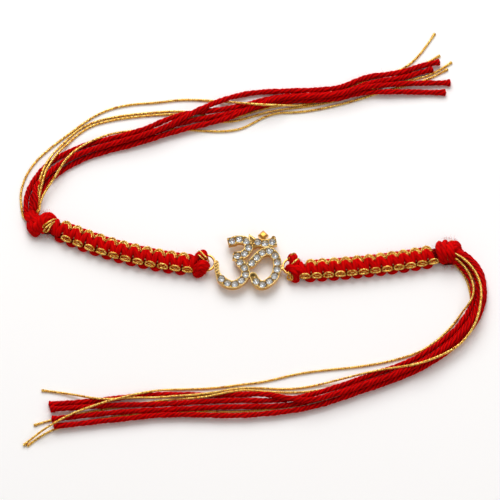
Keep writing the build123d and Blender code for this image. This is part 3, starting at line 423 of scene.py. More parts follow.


# Mercerised cotton yarn: matt, with a soft sheen at the edge of each ply, painted shade in deep red in the
# grooves between plies and in hidden parts, and fibres about a tenth of a millimetre wide that follow each
# ply.
red_cotton, red_shader = new_finish("red_cotton_yarn")
red_painted_light_share = add_node(red_cotton, "ShaderNodeAttribute", attribute_name="crown")
red_straight = add_node(red_cotton, "ShaderNodeAttribute", attribute_name="straight")
red_place = add_node(red_cotton, "ShaderNodeTexCoord")
fibre_way = add_node(red_cotton, "ShaderNodeMapping",
                     {"Vector": red_straight.outputs["Vector"], "Scale": (5.0, 5.0, 0.7)})
fibres = add_node(red_cotton, "ShaderNodeTexNoise",
                  {"Vector": fibre_way.outputs["Vector"], "Scale": 1.6, "Detail": 4.0, "Roughness": 0.6})
dye_patches = add_node(red_cotton, "ShaderNodeTexNoise",
                       {"Vector": red_place.outputs["Object"], "Scale": 420.0, "Detail": 2.0})
depth_mix = add_node(red_cotton, "ShaderNodeMath", {0: fibres.outputs["Fac"], 1: 0.55, 2: -0.25},
                     operation="MULTIPLY_ADD")
red_shade_depth = add_node(red_cotton, "ShaderNodeMath",
                     {0: red_painted_light_share.outputs["Fac"], 1: depth_mix.outputs["Value"]}, operation="ADD")
# Painted light: the ramp runs from near black red, painted shade in the grooves and knot hearts, to bright
# scarlet on the ridges of the plies.
red_painted_shade_ramp = add_node(red_cotton, "ShaderNodeValToRGB", {"Fac": red_shade_depth.outputs["Value"]},
                    stops=((0.1, "#380102"), (0.55, "#980103"), (1.0, "#d40202")))
dye_shade = add_node(red_cotton, "ShaderNodeMapRange",
                     {"Value": dye_patches.outputs["Fac"], "From Min": 0.3, "From Max": 0.7,
                      "To Min": 0.8, "To Max": 1.1})
red_dyed = add_node(red_cotton, "ShaderNodeVectorMath",
                    {0: red_painted_shade_ramp.outputs["Color"], "Scale": dye_shade.outputs["Result"]}, operation="SCALE")
red_bump = add_node(red_cotton, "ShaderNodeBump",
                    {"Height": fibres.outputs["Fac"], "Strength": 0.5, "Distance": 0.00008})
set_sockets(red_cotton, red_shader, {
    "Base Color": red_dyed.outputs["Vector"], "Normal": red_bump.outputs["Normal"], "Roughness": 0.75,
    "Specular IOR Level": 0.03, "Sheen Weight": 0.03, "Sheen Roughness": 0.4,
    "Sheen Tint": linear("#ff3020")})

# Metallised foil wound round a yellow core, in turns that lie about 0.35 mm apart. Its colour is painted
# light:
# a pale yellow gold highlight on the ridge of each ply, painted shade in brown orange in the grooves between,
# and random flecks.
gold_thread, thread_shader = new_finish("gold_wrapped_thread")
thread_painted_light_share = add_node(gold_thread, "ShaderNodeAttribute", attribute_name="crown")
thread_straight = add_node(gold_thread, "ShaderNodeAttribute", attribute_name="straight")
thread_place = add_node(gold_thread, "ShaderNodeTexCoord")
foil_turns = add_node(gold_thread, "ShaderNodeTexWave",
                      {"Vector": thread_straight.outputs["Vector"], "Scale": 0.9, "Distortion": 1.5,
                       "Detail": 1.0}, bands_direction="Z")
# Random flecks, partly wear of the foil and partly painted glints.
foil_wear_and_glints = add_node(gold_thread, "ShaderNodeTexNoise",
                     {"Vector": thread_place.outputs["Object"], "Scale": 1900.0, "Detail": 2.0})
foil_glint_share = add_node(gold_thread, "ShaderNodeMapRange",
                      {"Value": foil_wear_and_glints.outputs["Fac"], "From Min": 0.35, "From Max": 0.65,
                       "To Min": 0.16, "To Max": 0.9})
foil_painted_light = add_node(gold_thread, "ShaderNodeMath",
                     {0: thread_painted_light_share.outputs["Fac"], 1: foil_glint_share.outputs["Result"]},
                     operation="MULTIPLY")
# Painted light: dark brown is painted shade in the grooves, pale yellow a painted highlight on the ply
# ridges.
thread_painted_light_ramp = add_node(gold_thread, "ShaderNodeValToRGB", {"Fac": foil_painted_light.outputs["Value"]},
                       stops=((0.1, "#682e04"), (0.27, "#fcaa18"), (0.5, "#ffe27c")))
thread_bump = add_node(gold_thread, "ShaderNodeBump",
                       {"Height": foil_turns.outputs["Fac"], "Strength": 0.6, "Distance": 0.00006})
set_sockets(gold_thread, thread_shader, {
    "Base Color": thread_painted_light_ramp.outputs["Color"], "Normal": thread_bump.outputs["Normal"],
    "Metallic": 0.7, "Roughness": 0.24})

# Loosely laid, both kinds swell a little beyond the size at which they are drawn taut.
red_yarn_radius = 0.77
gold_thread_radius = 0.35
fuzz = {"left": [], "right": []}
for index, (name, route) in enumerate(cord_routes.items()):
    side_name, colour = name.split("_")[:2]
    line = laid_line(name, route)
    length = np.linalg.norm(np.diff(line, axis=0), axis=1).sum()
    if colour == "red":
        part = strand(line, red_yarn_radius, plies=4, pitch=6.2, groove=0.28, around=24, step=0.26, tip=0.35,
                      turn=index * 1.3, uneven=0.08, flare=0.45, crowns=(0.22, 1.0))
        fuzz[side_name] += [
            stray_fibres(line, red_yarn_radius, count=420, length=1.0, spread=0.55, seed=index),
            stray_fibres(line[-8:], red_yarn_radius, count=60, length=0.9, spread=0.3, seed=index + 40)]
        cord = woven_piece(name.replace("cord", "yarn"), [part], red_cotton)
    else:
        part = strand(line, gold_thread_radius, plies=2, pitch=1.0, groove=0.42, around=10, step=0.11,
                      tip=0.15, turn=index * 0.9, uneven=0.03, flare=0.35)
        cord = woven_piece(name.replace("cord", "thread"), [part], gold_thread)
    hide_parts(name)
for side_name, tufts in fuzz.items():
    woven_piece(side_name + "_yarn_fibres", tufts, red_cotton)

# Knotted bands
# Each band is a row of square knots in red cotton over a flat bundle of undyed core threads. A
# pair of gold threads is carried along and shows as an arch on one edge and a leaf on the other.
knots_per_band = 11
band_lines = {"left": ((-51.0, 6.9), (-33.5, 0.1), (-14.62, -3.7)),
              "right": ((15.55, -5.5), (34.6, -3.8), (51.2, -1.0))}
band_end_margin = 0.6
# Counted in knots: how far from its end a band's last strand stands, and how far the bars and the
# leaves run on past both ends, which closes the gaps to the hitch and to the end knot.
last_strand_gap = {"left": 0.05, "right": 0.15}
bar_run_on = 0.32
leaf_run_on = {"left": 0.0, "right": 0.12}
bar_radius = 0.80
leaf_place = 0.90
gold_lay = {"plies": 2, "pitch": 0.9, "groove": 0.36, "around": 10, "step": 0.1, "tip": 0.2}
# Kind of thread, place of its middle in a knot, radius, then points: mm along, mm across, height.
knot_strands = [
    ("red", 0.20, bar_radius, ((0.62, 1.95, 1.2), (0.52, 1.5, 2.15), (0.24, 0.6, 2.62),
                               (-0.12, -0.5, 2.62), (-0.36, -1.45, 2.15), (-0.4, -1.95, 1.2))),
    ("red", 0.69, bar_radius, ((-0.5, 1.95, 1.2), (-0.42, 1.5, 2.15), (-0.2, 0.6, 2.58),
                               (0.08, -0.5, 2.64), (0.28, -1.45, 2.15), (0.32, -1.95, 1.2))),
    ("gold", 0.45, 0.31, ((-1.40, 0.9, 2.2), (-1.30, 1.4, 2.7), (-0.80, 2.1, 2.9), (0.0, 2.4, 2.95),
                          (0.80, 2.1, 2.9), (1.30, 1.4, 2.8), (1.42, 0.8, 2.4))),
    ("gold", 0.45, 0.22, ((-0.95, 1.1, 2.8), (-0.55, 1.6, 3.0), (0.0, 1.84, 3.0), (0.55, 1.6, 3.1),
                          (0.98, 0.95, 3.2), (1.05, 0.4, 3.1))),
    ("gold", leaf_place, 0.27, ((-1.4, -1.95, 2.1), (-0.9, -1.8, 2.75), (-0.36, -1.72, 3.0),
                                (0.5, -1.74, 3.0), (1.0, -1.92, 2.7), (1.4, -2.15, 2.1))),
    ("gold", leaf_place, 0.18, ((-0.75, -2.15, 2.4), (-0.3, -2.19, 2.56), (0.3, -2.21, 2.56),
                                (0.75, -2.21, 2.4))),
    ("gold", leaf_place, 0.27, ((-1.4, -2.2, 1.9), (-0.95, -2.52, 2.2), (-0.38, -2.7, 2.35),
                                (0.38, -2.7, 2.35), (0.95, -2.52, 2.2), (1.4, -2.2, 1.9))),
    ("red", 0.93, 0.62, ((-1.2, 1.5, 1.4), (-0.6, 2.2, 1.25), (0.0, 2.42, 1.2), (0.6, 2.2, 1.25),
                         (1.2, 1.5, 1.4))),
    ("red", 0.35, 0.62, ((-1.3, -1.6, 0.8), (-0.7, -2.3, 0.66), (0.0, -2.5, 0.66), (0.7, -2.3, 0.66),
                         (1.3, -1.6, 0.8))),
    ("core", 0.45, 0.24, ((-0.35, -1.05, 2.2), (0.0, -1.0, 2.35), (0.35, -1.1, 2.2))),
    ("core", 0.95, 0.24, ((-0.3, 1.15, 2.1), (0.0, 1.1, 2.2), (0.3, 1.1, 2.1))),
]
# Threads that run through under the knots and past both ends of the band by the same share of its
# length, in red darkened as painted shade of the knots above them: mm across, height, radius.
core_overhang = 0.035
core_strands = ((-1.2, 1.55, 0.62), (-0.4, 1.7, 0.75), (0.4, 1.7, 0.75), (1.2, 1.55, 0.62),
                (-1.5, 0.85, 0.75), (0.0, 0.78, 0.77), (1.5, 0.85, 0.75))


def smooth_line(spots, fine=10):
    """A line through each spot: between p1 and p2 it is half of 2 p1 + (p2 - p0) t
    + (2 p0 - 5 p1 + 4 p2 - p3) t^2 + (3 p1 - p0 - 3 p2 + p3) t^3."""
    spots = np.array(spots, float)
    held = np.vstack([2 * spots[0] - spots[1], spots, 2 * spots[-1] - spots[-2]])
    p0, p1, p2, p3 = (held[k:len(held) - 3 + k, None] for k in range(4))
    t = np.linspace(0, 1, fine, endpoint=False)[None, :, None]
    line = 0.5 * (2 * p1 + (p2 - p0) * t + (2 * p0 - 5 * p1 + 4 * p2 - p3) * t ** 2
                  + (3 * p1 - p0 - 3 * p2 + p3) * t ** 3)
    return np.vstack([line.reshape(-1, 3), spots[-1:]])


def on_band(arc, share, across, height):
    """Points at a share of the arc through three spots, so far to the left of its way and so high."""
    (ax, ay), (bx, by), (cx, cy) = arc
    double = 2 * ((bx - ax) * (cy - ay) - (by - ay) * (cx - ax))
    b_far = (bx - ax) ** 2 + (by - ay) ** 2
    c_far = (cx - ax) ** 2 + (cy - ay) ** 2
    middle_x = ax + ((cy - ay) * b_far - (by - ay) * c_far) / double
    middle_y = ay + ((bx - ax) * c_far - (cx - ax) * b_far) / double
    radius = math.hypot(ax - middle_x, ay - middle_y)
    start = math.atan2(ay - middle_y, ax - middle_x)
    stop = math.atan2(cy - middle_y, cx - middle_x)
    sweep = (stop - start + math.pi) % (2 * math.pi) - math.pi
    angle = start + sweep * share
    reach = radius - math.copysign(1, sweep) * across
    return np.column_stack([middle_x + reach * np.cos(angle), middle_y + reach * np.sin(angle),
                            np.broadcast_to(height, angle.shape)])


# Undyed cotton, matt and creamy brown, seen only as dots between the knots.
core_cotton, core_shader = new_finish("undyed_core_cotton")
core_place = add_node(core_cotton, "ShaderNodeTexCoord")
core_noise = add_node(core_cotton, "ShaderNodeTexNoise",
                      {"Vector": core_place.outputs["Object"], "Scale": 1500.0, "Detail": 3.0})
core_ramp = add_node(core_cotton, "ShaderNodeValToRGB", {"Fac": core_noise.outputs["Fac"]},
                     stops=((0.3, "#9a5f3c"), (0.7, "#d8a878")))
set_sockets(core_cotton, core_shader, {"Base Color": core_ramp.outputs["Color"], "Roughness": 0.8})

for side_name, arc in band_lines.items():
    parts = {"red": [], "gold": [], "core": []}
    middle = on_band(arc, np.linspace(0, 1, 40), 0, 0)
    length = np.linalg.norm(np.diff(middle, axis=0), axis=1).sum()
    period = (length - 2 * band_end_margin) / knots_per_band
    latest = knots_per_band - last_strand_gap[side_name]
    for knot in range(-1, knots_per_band + 1):
        for kind, phase, radius, places in knot_strands:
            run_on = bar_run_on if radius == bar_radius else 0.0
            if phase == leaf_place:
                run_on = leaf_run_on[side_name]
            if not -run_on < knot + phase < latest + run_on:
                continue
            along, across, height = smooth_line(places).T
            share = (band_end_margin + (knot + phase) * period + along) / length
            line = on_band(arc, share, across, height) + centre_shift
            if kind == "red":
                part = strand(line, radius, plies=5, pitch=9.0, groove=0.08, around=20, step=0.2, tip=0.8,
                              turn=knot * 2.1 + phase * 9, swell=0.14, crowns=(0.62, 1.0))
            elif kind == "gold":
                part = strand(line, radius, turn=knot * 1.7, **gold_lay)
            else:
                part = strand(line, radius, pitch=1.2, groove=0.2, around=10, step=0.1, tip=0.2)
            parts[kind].append(part)
    for across, height, radius in core_strands:
        line = on_band(arc, np.linspace(-core_overhang, 1 + core_overhang, 96), across, height) + centre_shift
        # Painted shade: crowns from 0 to 0.45 keep these threads in the dark half of the red.
        parts["red"].append(strand(line, radius, pitch=5.0, groove=0.2, around=12, step=0.5, tip=0.5,
                                   crowns=(0.0, 0.45)))
    red_knots = woven_piece(side_name + "_band_red_knots", parts["red"], red_cotton)
    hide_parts(side_name + "_band")
    woven_piece(side_name + "_band_gold_loops", parts["gold"], gold_thread)
    woven_piece(side_name + "_band_core_threads", parts["core"], core_cotton)
    middle = on_band(arc, np.linspace(0, 1, 60), 0, 1.7) + centre_shift
    tufts = stray_fibres(middle, radius=2.9, count=900, length=0.9, spread=0.6, seed=91)
    woven_piece(side_name + "_band_fibres", [tufts], red_cotton)

# Hitches and end knots
# At the ring the working threads fold round the wire in a lark's head; at the other end they
# are drawn up into one overhand knot. The tables give each thread that shows, one by one.
knot_threads = {
    "left_end_knot": [
        ("red", [(-59.4, 12.1, 0.95), (-59.3, 10.7, 1.1), (-58.7, 9.4, 1.5), (-57.8, 8.3, 1.9),
            (-56.9, 7.4, 2.2)]),
        ("red", [(-57.3, 12.0, 2.45), (-57.6, 10.8, 2.5), (-57.6, 9.6, 2.7), (-57.1, 8.5, 2.9),
            (-56.3, 7.5, 2.9)]),
        ("red", [(-57.9, 12.2, 0.95), (-58.4, 10.7, 1.4), (-58.2, 9.3, 2.1), (-57.6, 8.0, 2.4),
            (-56.8, 6.9, 2.3)]),
        ("red", [(-56.4, 12.5, 0.95), (-56.7, 11.0, 1.6), (-56.7, 9.9, 2.2), (-56.2, 8.9, 2.6),
            (-55.4, 8.0, 2.6)]),
        ("gold", [(-60.5, 12.3, 0.45), (-60.3, 11.0, 0.5), (-59.6, 10.0, 0.8), (-58.6, 9.3, 1.1)]),
        ("gold", [(-57.2, 11.7, 2.2), (-57.3, 10.8, 2.1), (-57.1, 10.2, 1.9), (-56.8, 9.6, 1.7)]),
        ("gold", [(-56.5, 11.8, 2.1), (-56.7, 10.9, 2.0), (-56.6, 10.2, 1.8), (-56.3, 9.6, 1.6)]),
        ("gold", [(-55.9, 12.0, 2.0), (-56.2, 10.9, 1.9), (-56.2, 10.1, 1.7), (-55.9, 9.4, 1.6)]),
        ("red", [(-55.38, 5.95, 1.4), (-56, 6.75, 2.9), (-55.8, 8.07, 3.5), (-54.97, 9.47, 3.4),
            (-53.83, 10.26, 2.9), (-52.8, 10.19, 2.8), (-51.92, 9.49, 2.6), (-51.46, 8.69, 1.6)]),
        ("red", [(-54.66, 5.79, 1), (-55.28, 6.39, 2.7), (-55.07, 7.66, 3.4), (-54.35, 8.63, 3.5),
            (-53.32, 9.11, 3.2), (-52.49, 8.69, 2.6)]),
        ("red", [(-54.04, 5.9, 1), (-54.45, 6.75, 2.4), (-54.25, 7.61, 3), (-53.52, 8.18, 3),
            (-52.8, 8.02, 2.6)]),
        ("red", [(-56, 5.61, 0.9), (-56.62, 6.3, 2.4), (-56.42, 7.39, 3), (-56, 8.52, 3),
            (-55.49, 9.71, 2.6)]),
        ("red", [(-53.21, 6.06, 0.9), (-53.42, 6.61, 2.2), (-52.8, 7.11, 2.6), (-51.97, 7.88, 2.4),
            (-51.66, 8.82, 1.8)]),
        ("gold", [(-51.3, 9.01, 2.9), (-52.18, 8.49, 3.7), (-53.21, 7.68, 4), (-54.25, 6.98, 3.9),
            (-54.87, 6.48, 3.5), (-55.23, 6.04, 2.6)]),
        ("gold", [(-51.2, 8.42, 2.7), (-52.18, 7.68, 3.6), (-53.01, 6.98, 3.9),
            (-53.83, 6.29, 3.8), (-54.45, 5.67, 3.3), (-54.71, 5.45, 2.4)]),
        ("gold", [(-51.66, 7.86, 2.7), (-52.59, 7.05, 3.5), (-53.01, 6.21, 3.6),
            (-53.32, 5.67, 3.3), (-53.99, 5.27, 2.8), (-54.56, 5.64, 2.6)]),
        ("gold", [(-56.16, 8.45, 2.9), (-56.83, 7.82, 3.3), (-57.35, 7.18, 3.2),
            (-57.57, 6.57, 2.8), (-57.55, 6.07, 1.9)]),
        ("red", [(-56.93, 8.56, 2.4), (-57.86, 8.15, 2.3), (-58.17, 7.06, 2.2),
            (-57.76, 6.15, 1.7), (-57.04, 5.59, 1.2), (-56.11, 5.99, 0.8)]),
        ("red", [(-57.76, 9.14, 1.6), (-58.48, 8.32, 1.4), (-58.48, 7.12, 1.3), (-57.76, 6.13, 1),
            (-56.93, 5.47, 0.7), (-56, 5.63, 0.6)]),
        ("red", [(-56.31, 7.88, 2.9), (-57.14, 6.86, 2.9), (-57.14, 6.04, 2.2),
            (-56.52, 5.56, 1.5), (-55.69, 6.01, 1)]),
    ],
    "right_end_knot": [
        ("red", [(57.2, -3.6, 1.6), (56.2, -2.8, 1.8), (55.3, -1.9, 2.1), (54.6, -1.0, 2.2)]),
        ("red", [(58.0, -2.1, 1.6), (57.1, -1.4, 1.8), (56.2, -0.7, 2.2), (55.3, 0.0, 2.4)]),
        ("red", [(58.8, -0.7, 1.6), (57.9, -0.1, 1.8), (57.1, 0.6, 2.0), (56.2, 1.3, 2.1)]),
        ("red", [(58.9, -2.0, 2.95), (58.0, -1.2, 3.0), (57.0, -0.5, 2.9), (56.1, 0.2, 2.6)]),
        ("gold", [(56.6, -1.4, 3.2), (55.9, -0.9, 3.6), (55.1, -0.3, 4.2), (54.5, 0.2, 4.2)]),
        ("gold", [(56.6, -2.6, 3.0), (55.9, -2.0, 3.4), (55.2, -1.5, 3.9), (54.5, -1.1, 3.9)]),
        ("gold", [(56.4, -3.3, 0.7), (55.8, -2.7, 1.4), (55.2, -2.3, 1.8)]),
        ("gold", [(57.7, -2.1, 0.5), (56.9, -1.4, 0.8), (56.2, -0.8, 1.2)]),
        ("red", [(52.39, 2.74, 1.6), (51.85, 1.09, 3), (52.01, -0.62, 3.8), (52.47, -2.01, 3.5),
            (52.86, -2.92, 2.5), (53.4, -3.1, 1)]),
        ("red", [(53.94, 2.99, 1.8), (53.4, 1.34, 3.4), (53.32, -0.41, 4.1), (53.48, -1.85, 3.9),
            (53.71, -2.76, 2.9), (53.94, -2.94, 1.2)]),
        ("gold", [(54.1, 0.03, 3.3), (54.25, -0.91, 3.7), (54.35, -1.8, 3.6), (54.27, -2.47, 3.2),
            (54.49, -2.88, 2.4)]),
        ("red", [(55.34, 2.48, 1.8), (54.8, 1.01, 3.2), (54.8, -0.66, 3.9), (55.11, -1.89, 3.6),
            (55.26, -2.63, 2.6), (55.03, -2.85, 1.2)]),
        ("red", [(56.11, 2.39, 2), (55.49, 1.13, 3.3), (55.42, -0.54, 4), (55.73, -1.76, 3.7),
            (55.88, -2.33, 2.7), (55.57, -2.64, 1.3)]),
        ("red", [(55.03, 1.52, 3), (55.73, 1.68, 3.2), (56.58, 1.86, 2.8), (57.28, 1.62, 2.2),
            (57.74, 1.04, 1.6)]),
        ("red", [(55.73, 0.66, 3.6), (56.42, 0.96, 3.3), (57.12, 0.93, 2.8), (57.59, 0.6, 2.2),
            (58.05, 0.28, 1.6)]),
        ("red", [(55.8, -0.49, 3.9), (56.27, -0.02, 3.6), (56.89, 0.12, 3.1), (57.35, -0.17, 2.6)]),
        ("gold", [(54.87, 2.64, 2), (55.34, 2.81, 2.2), (55.8, 2.81, 2.2), (56.19, 2.64, 2)]),
    ],
    "left_ring_hitch": [
        ("red", [(-10.8, -2.34, 1.4), (-11.05, -1.88, 2.9), (-11.3, -1.1, 3.2),
            (-11.75, -0.75, 2.6), (-12.07, -0.9, 1.2)]),
        ("red", [(-13.31, -3.34, 1.6), (-13.31, -2.49, 2.4), (-12.96, -1.61, 2.8),
            (-12.14, -1.55, 3), (-11.45, -2.36, 2.8), (-11.1, -3.06, 2)]),
        ("gold", [(-13.1, -1.1, 2.5), (-12.89, -0.79, 3), (-12.41, -0.79, 3.5),
            (-11.79, -1.57, 3.9), (-10.97, -2.51, 3.8), (-10.21, -3.17, 3.1), (-10.04, -3.35, 2.3)]),
        ("gold", [(-13.17, -1.78, 2.5), (-13.03, -1.52, 3.1), (-12.62, -2.04, 3.6),
            (-11.93, -2.8, 3.7), (-11.24, -3.22, 3.2), (-10.83, -3.27, 2.3)]),
        ("red", [(-12.96, -4.06, 2.2), (-12.21, -3.96, 3), (-11.31, -4, 3.1), (-10.55, -4.31, 2.6),
            (-10.21, -4.65, 1.5)]),
        ("red", [(-14.13, -5.13, 1.9), (-13.31, -4.93, 2.8), (-12.34, -4.62, 3.3),
            (-11.38, -4.8, 3.2), (-10.76, -5.2, 2.4), (-10.69, -5.46, 1.3)]),
        ("red", [(-14.41, -5.57, 1.2), (-13.58, -5.46, 2.3), (-12.62, -5.27, 2.9),
            (-11.72, -5.45, 2.8), (-11.24, -5.81, 1.9), (-11.79, -6.16, 1)]),
        ("red", [(-13.93, -5.68, 1.1), (-13.58, -6.55, 1.2), (-12.89, -6.69, 1),
            (-12.07, -6.32, 1.2), (-11.38, -5.78, 1.5)]),
        ("red", [(-13.86, -5.37, 1.6), (-13.17, -5.88, 1.9), (-12.48, -6.03, 1.9),
            (-11.93, -5.82, 2.1)]),
    ],
    "right_ring_hitch": [
        ("red", [(11.75, -2.78, 1.4), (11.95, -2.17, 2.4), (12.28, -1.94, 2.9), (12.6, -2.68, 3.2),
            (12.42, -3.38, 2.4), (12.25, -3.84, 1.4)]),
        ("red", [(13.05, -1.42, 2.4), (13.19, -2.38, 3.2), (12.77, -3.33, 3.3),
            (12.36, -3.92, 2.6), (12.22, -4.38, 1.6)]),
        ("gold", [(11.4, -2.79, 2.6), (11.81, -2.48, 3.1), (12.22, -2.03, 3.6), (12.7, -1.54, 3.7),
            (13.25, -1.32, 3.2), (13.53, -1.49, 2.4)]),
        ("red", [(14.15, -2.66, 1.8), (13.74, -3.56, 2.8), (13.19, -4.25, 3), (12.91, -4.74, 2.4)]),
        ("gold", [(14.36, -2.84, 2.2), (14.15, -2.74, 3), (13.74, -3.23, 3.6), (13.25, -3.81, 3.8),
            (12.77, -4.25, 3.6), (12.22, -4.55, 3), (12.02, -4.72, 2.2)]),
        ("red", [(11.2, -5.45, 1.3), (11.35, -5.14, 2.3), (11.8, -5.11, 2.9), (12.63, -5.5, 3.1),
            (13.74, -5.91, 3), (14.63, -6.39, 2.4)]),
        ("red", [(11.3, -5.75, 1.3), (11.7, -5.53, 2.5), (12.43, -6.06, 3), (13.19, -6.8, 2.8),
            (13.46, -7.57, 2), (13.05, -7.96, 1)]),
        ("red", [(13.05, -4.48, 2.5), (13.87, -5.34, 2.9), (14.56, -6.08, 2.7), (14.7, -6.82, 2),
            (14.15, -7.37, 1.2)]),
        ("red", [(12.5, -6.43, 1.8), (12.91, -7.2, 1.5), (12.91, -7.91, 0.9), (13.6, -8.02, 0.8),
            (14.29, -7.44, 1.2)]),
        ("gold", [(11.4, -6.33, 2.6), (11.6, -7.06, 2.7), (12.22, -7.12, 2.5), (12.57, -7.62, 2.1),
            (12.5, -8.15, 1.6), (11.88, -8.24, 1.3), (11.26, -7.94, 1.3), (11.19, -7.44, 1.7),
            (11.53, -7.09, 2.1)]),
        ("gold", [(11.26, -6.44, 2), (11.74, -7.3, 2.4), (12.02, -7.8, 2), (11.95, -8.18, 1.5)]),
    ],
}
# Hidden bulk of each knot, in the darkest red as painted shade in the gaps between its threads: start and end
# of a thick bundle in mm, with its radius.
knot_hearts = {
    "left_end_knot": [((-58.2, 9.2, 1.25), (-52.6, 7.2, 1.35), 1.25),
                      ((-57.2, 6.9, 1.1), (-52.4, 6.2, 1.1), 1.0),
                      ((-56.2, 10.4, 1.1), (-52.4, 9.4, 1.2), 1.0)],
    "right_end_knot": [((52.2, 0.6, 1.5), (57.6, -0.2, 1.5), 1.4),
                       ((52.0, -1.6, 1.3), (57.0, -2.0, 1.2), 1.2),
                       ((52.6, 2.3, 1.2), (57.0, 1.4, 1.2), 1.1),
                       ((53.0, -3.0, 0.9), (56.4, -2.6, 0.9), 0.8)],
    "left_ring_hitch": [((-13.6, -3.6, 1.4), (-11.6, -3.7, 1.4), 1.1),
                        ((-13.8, -5.2, 1.0), (-11.8, -5.4, 1.0), 0.85),
                        ((-13.6, -2.3, 1.3), (-11.5, -2.2, 1.3), 0.85)],
    "right_ring_hitch": [((12.6, -3.2, 1.3), (13.9, -5.4, 1.3), 1.0),
                         ((12.2, -6.4, 1.0), (13.8, -6.6, 1.0), 0.9)],
}
knot_yarn_radius = 0.74
knot_gold_radius = 0.27
wraps_over_heart = 1.2
for node_name, threads in knot_threads.items():
    parts = {"red": [], "gold": []}
    for number, (kind, places) in enumerate(threads):
        line = smooth_line(places) + centre_shift
        if kind == "red":
            part = strand(line, knot_yarn_radius, plies=4, pitch=7.0, groove=0.1, around=20, step=0.2,
                          tip=0.7, turn=number * 2.3, swell=0.12, crowns=(0.58, 1.0))
        else:
            part = strand(line, knot_gold_radius, turn=number * 1.1, **gold_lay)
        parts[kind].append(part)
    tufts = []
    for number, (start, stop, radius) in enumerate(knot_hearts[node_name]):
        line = np.linspace(start, stop, 12) + centre_shift
        # Painted shade: the hearts take crowns near 0, the darkest red of the yarn.
        parts["red"].append(strand(line, radius, groove=0.0, around=20, step=0.4, tip=radius,
                                   crowns=(0.0, 0.05)))
        tufts.append(stray_fibres(line, radius + wraps_over_heart, count=170, length=1.2, spread=0.6,
                                  seed=number))
    red_knot = woven_piece(node_name + "_red_threads", parts["red"], red_cotton)
    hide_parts(node_name)
    woven_piece(node_name + "_gold_threads", parts["gold"], gold_thread)
    woven_piece(node_name + "_fibres", tufts, red_cotton)

# Pendant
# The sign is cast in brass, polished and plated in yellow gold; the two wire rings are soldered
# to its edges. Round clear stones sit in drilled seats between small raised beads.
sign_centre = (1.6, -3.15)
sign_size = (17.7, 17.1)
sign_top = 2.7
empty_seat = (0.00298, -0.00801, 0.0024)
empty_seat_radius = 0.0006
glass_edge = 0.00266


def gold_plating(name, darker, lighter, roughness, unevenness, shade_share):
    """Gold plate on cast brass: its tone and gloss waver with a grain of about four millimetres. The flat top
    of the plate between the stones and the inside of the empty seat keep only a share of the tone, as painted
    shade."""
    finish, shader = new_finish(name)
    place = add_node(finish, "ShaderNodeTexCoord")
    noise = add_node(finish, "ShaderNodeTexNoise",
                     {"Vector": place.outputs["Object"], "Scale": 260.0, "Detail": 3.0})
    ramp = add_node(finish, "ShaderNodeValToRGB", {"Fac": noise.outputs["Fac"]},
                    stops=((0.3, darker), (0.7, lighter)))
    axes = add_node(finish, "ShaderNodeSeparateXYZ", {"Vector": place.outputs["Object"]})
    # Painted shade: the flat top at the height of the plate and the inside of the empty seat take only a
    # share of the tone.
    flat = add_node(finish, "ShaderNodeMath", {0: axes.outputs["Z"], 1: sign_top / 1000, 2: 0.00002},
                    operation="COMPARE")
    depth = add_node(finish, "ShaderNodeVectorMath", {0: place.outputs["Object"], 1: empty_seat},
                     operation="DISTANCE")
    seat_shade_mask = add_node(finish, "ShaderNodeMath", {0: depth.outputs["Value"], 1: empty_seat_radius},
                     operation="LESS_THAN")
    painted_shade_mask = add_node(finish, "ShaderNodeMath", {0: flat.outputs["Value"], 1: seat_shade_mask.outputs["Value"]},
                    operation="MAXIMUM")
    share = add_node(finish, "ShaderNodeMath", {0: painted_shade_mask.outputs["Value"], 1: shade_share - 1, 2: 1.0},
                     operation="MULTIPLY_ADD")
    tone = add_node(finish, "ShaderNodeVectorMath",
                    {0: ramp.outputs["Color"], "Scale": share.outputs["Value"]}, operation="SCALE")
    gloss = add_node(finish, "ShaderNodeMapRange",
                     {"Value": noise.outputs["Fac"], "To Min": roughness - 0.06, "To Max": roughness + 0.06})
    bump = add_node(finish, "ShaderNodeBump",
                    {"Height": noise.outputs["Fac"], "Strength": unevenness, "Distance": 0.0001})
    set_sockets(finish, shader, {"Base Color": tone.outputs["Vector"], "Metallic": 1.0,
                                 "Roughness": gloss.outputs["Result"], "Normal": bump.outputs["Normal"]})
    return finish


plated_gold = gold_plating("polished_gold_plate", "#dc9a42", "#f8ca78", roughness=0.2, unevenness=0.25,
                           shade_share=0.14)
# Painted highlight: the rims and grains take a paler copy of the plate's gold.
grain_highlight_gold = gold_plating("gold_grains_painted_highlight", "#f6ca74", "#ffe6a2", roughness=0.26, unevenness=0.1,
                              shade_share=1.0)

# Cut glass with a silvered back: clear above the edge of the seat, a grey mirror on the facets
# below it, so that each stone looks bright at its rim and dark where it mirrors its own depth.
cut_glass, glass_shader = new_finish("silvered_cut_glass")
set_sockets(cut_glass, glass_shader, {"Base Color": linear("#ffffff"), "Roughness": 0.0, "IOR": 1.6,
                                      "Transmission Weight": 1.0})
glass_place = add_node(cut_glass, "ShaderNodeTexCoord")
glass_axes = add_node(cut_glass, "ShaderNodeSeparateXYZ", {"Vector": glass_place.outputs["Object"]})
glass_below = add_node(cut_glass, "ShaderNodeMath", {0: glass_axes.outputs["Z"], 1: glass_edge},
                       operation="LESS_THAN")
silver = add_node(cut_glass, "ShaderNodeBsdfPrincipled",
                  {"Base Color": linear("#f6f8fb"), "Metallic": 1.0, "Roughness": 0.1})
glass_mix = add_node(cut_glass, "ShaderNodeMixShader",
                     {"Fac": glass_below.outputs["Value"], 1: glass_shader.outputs["BSDF"],
                      2: silver.outputs["BSDF"]})
set_sockets(cut_glass, cut_glass.node_tree.nodes["Material Output"], {"Surface": glass_mix.outputs["Shader"]})

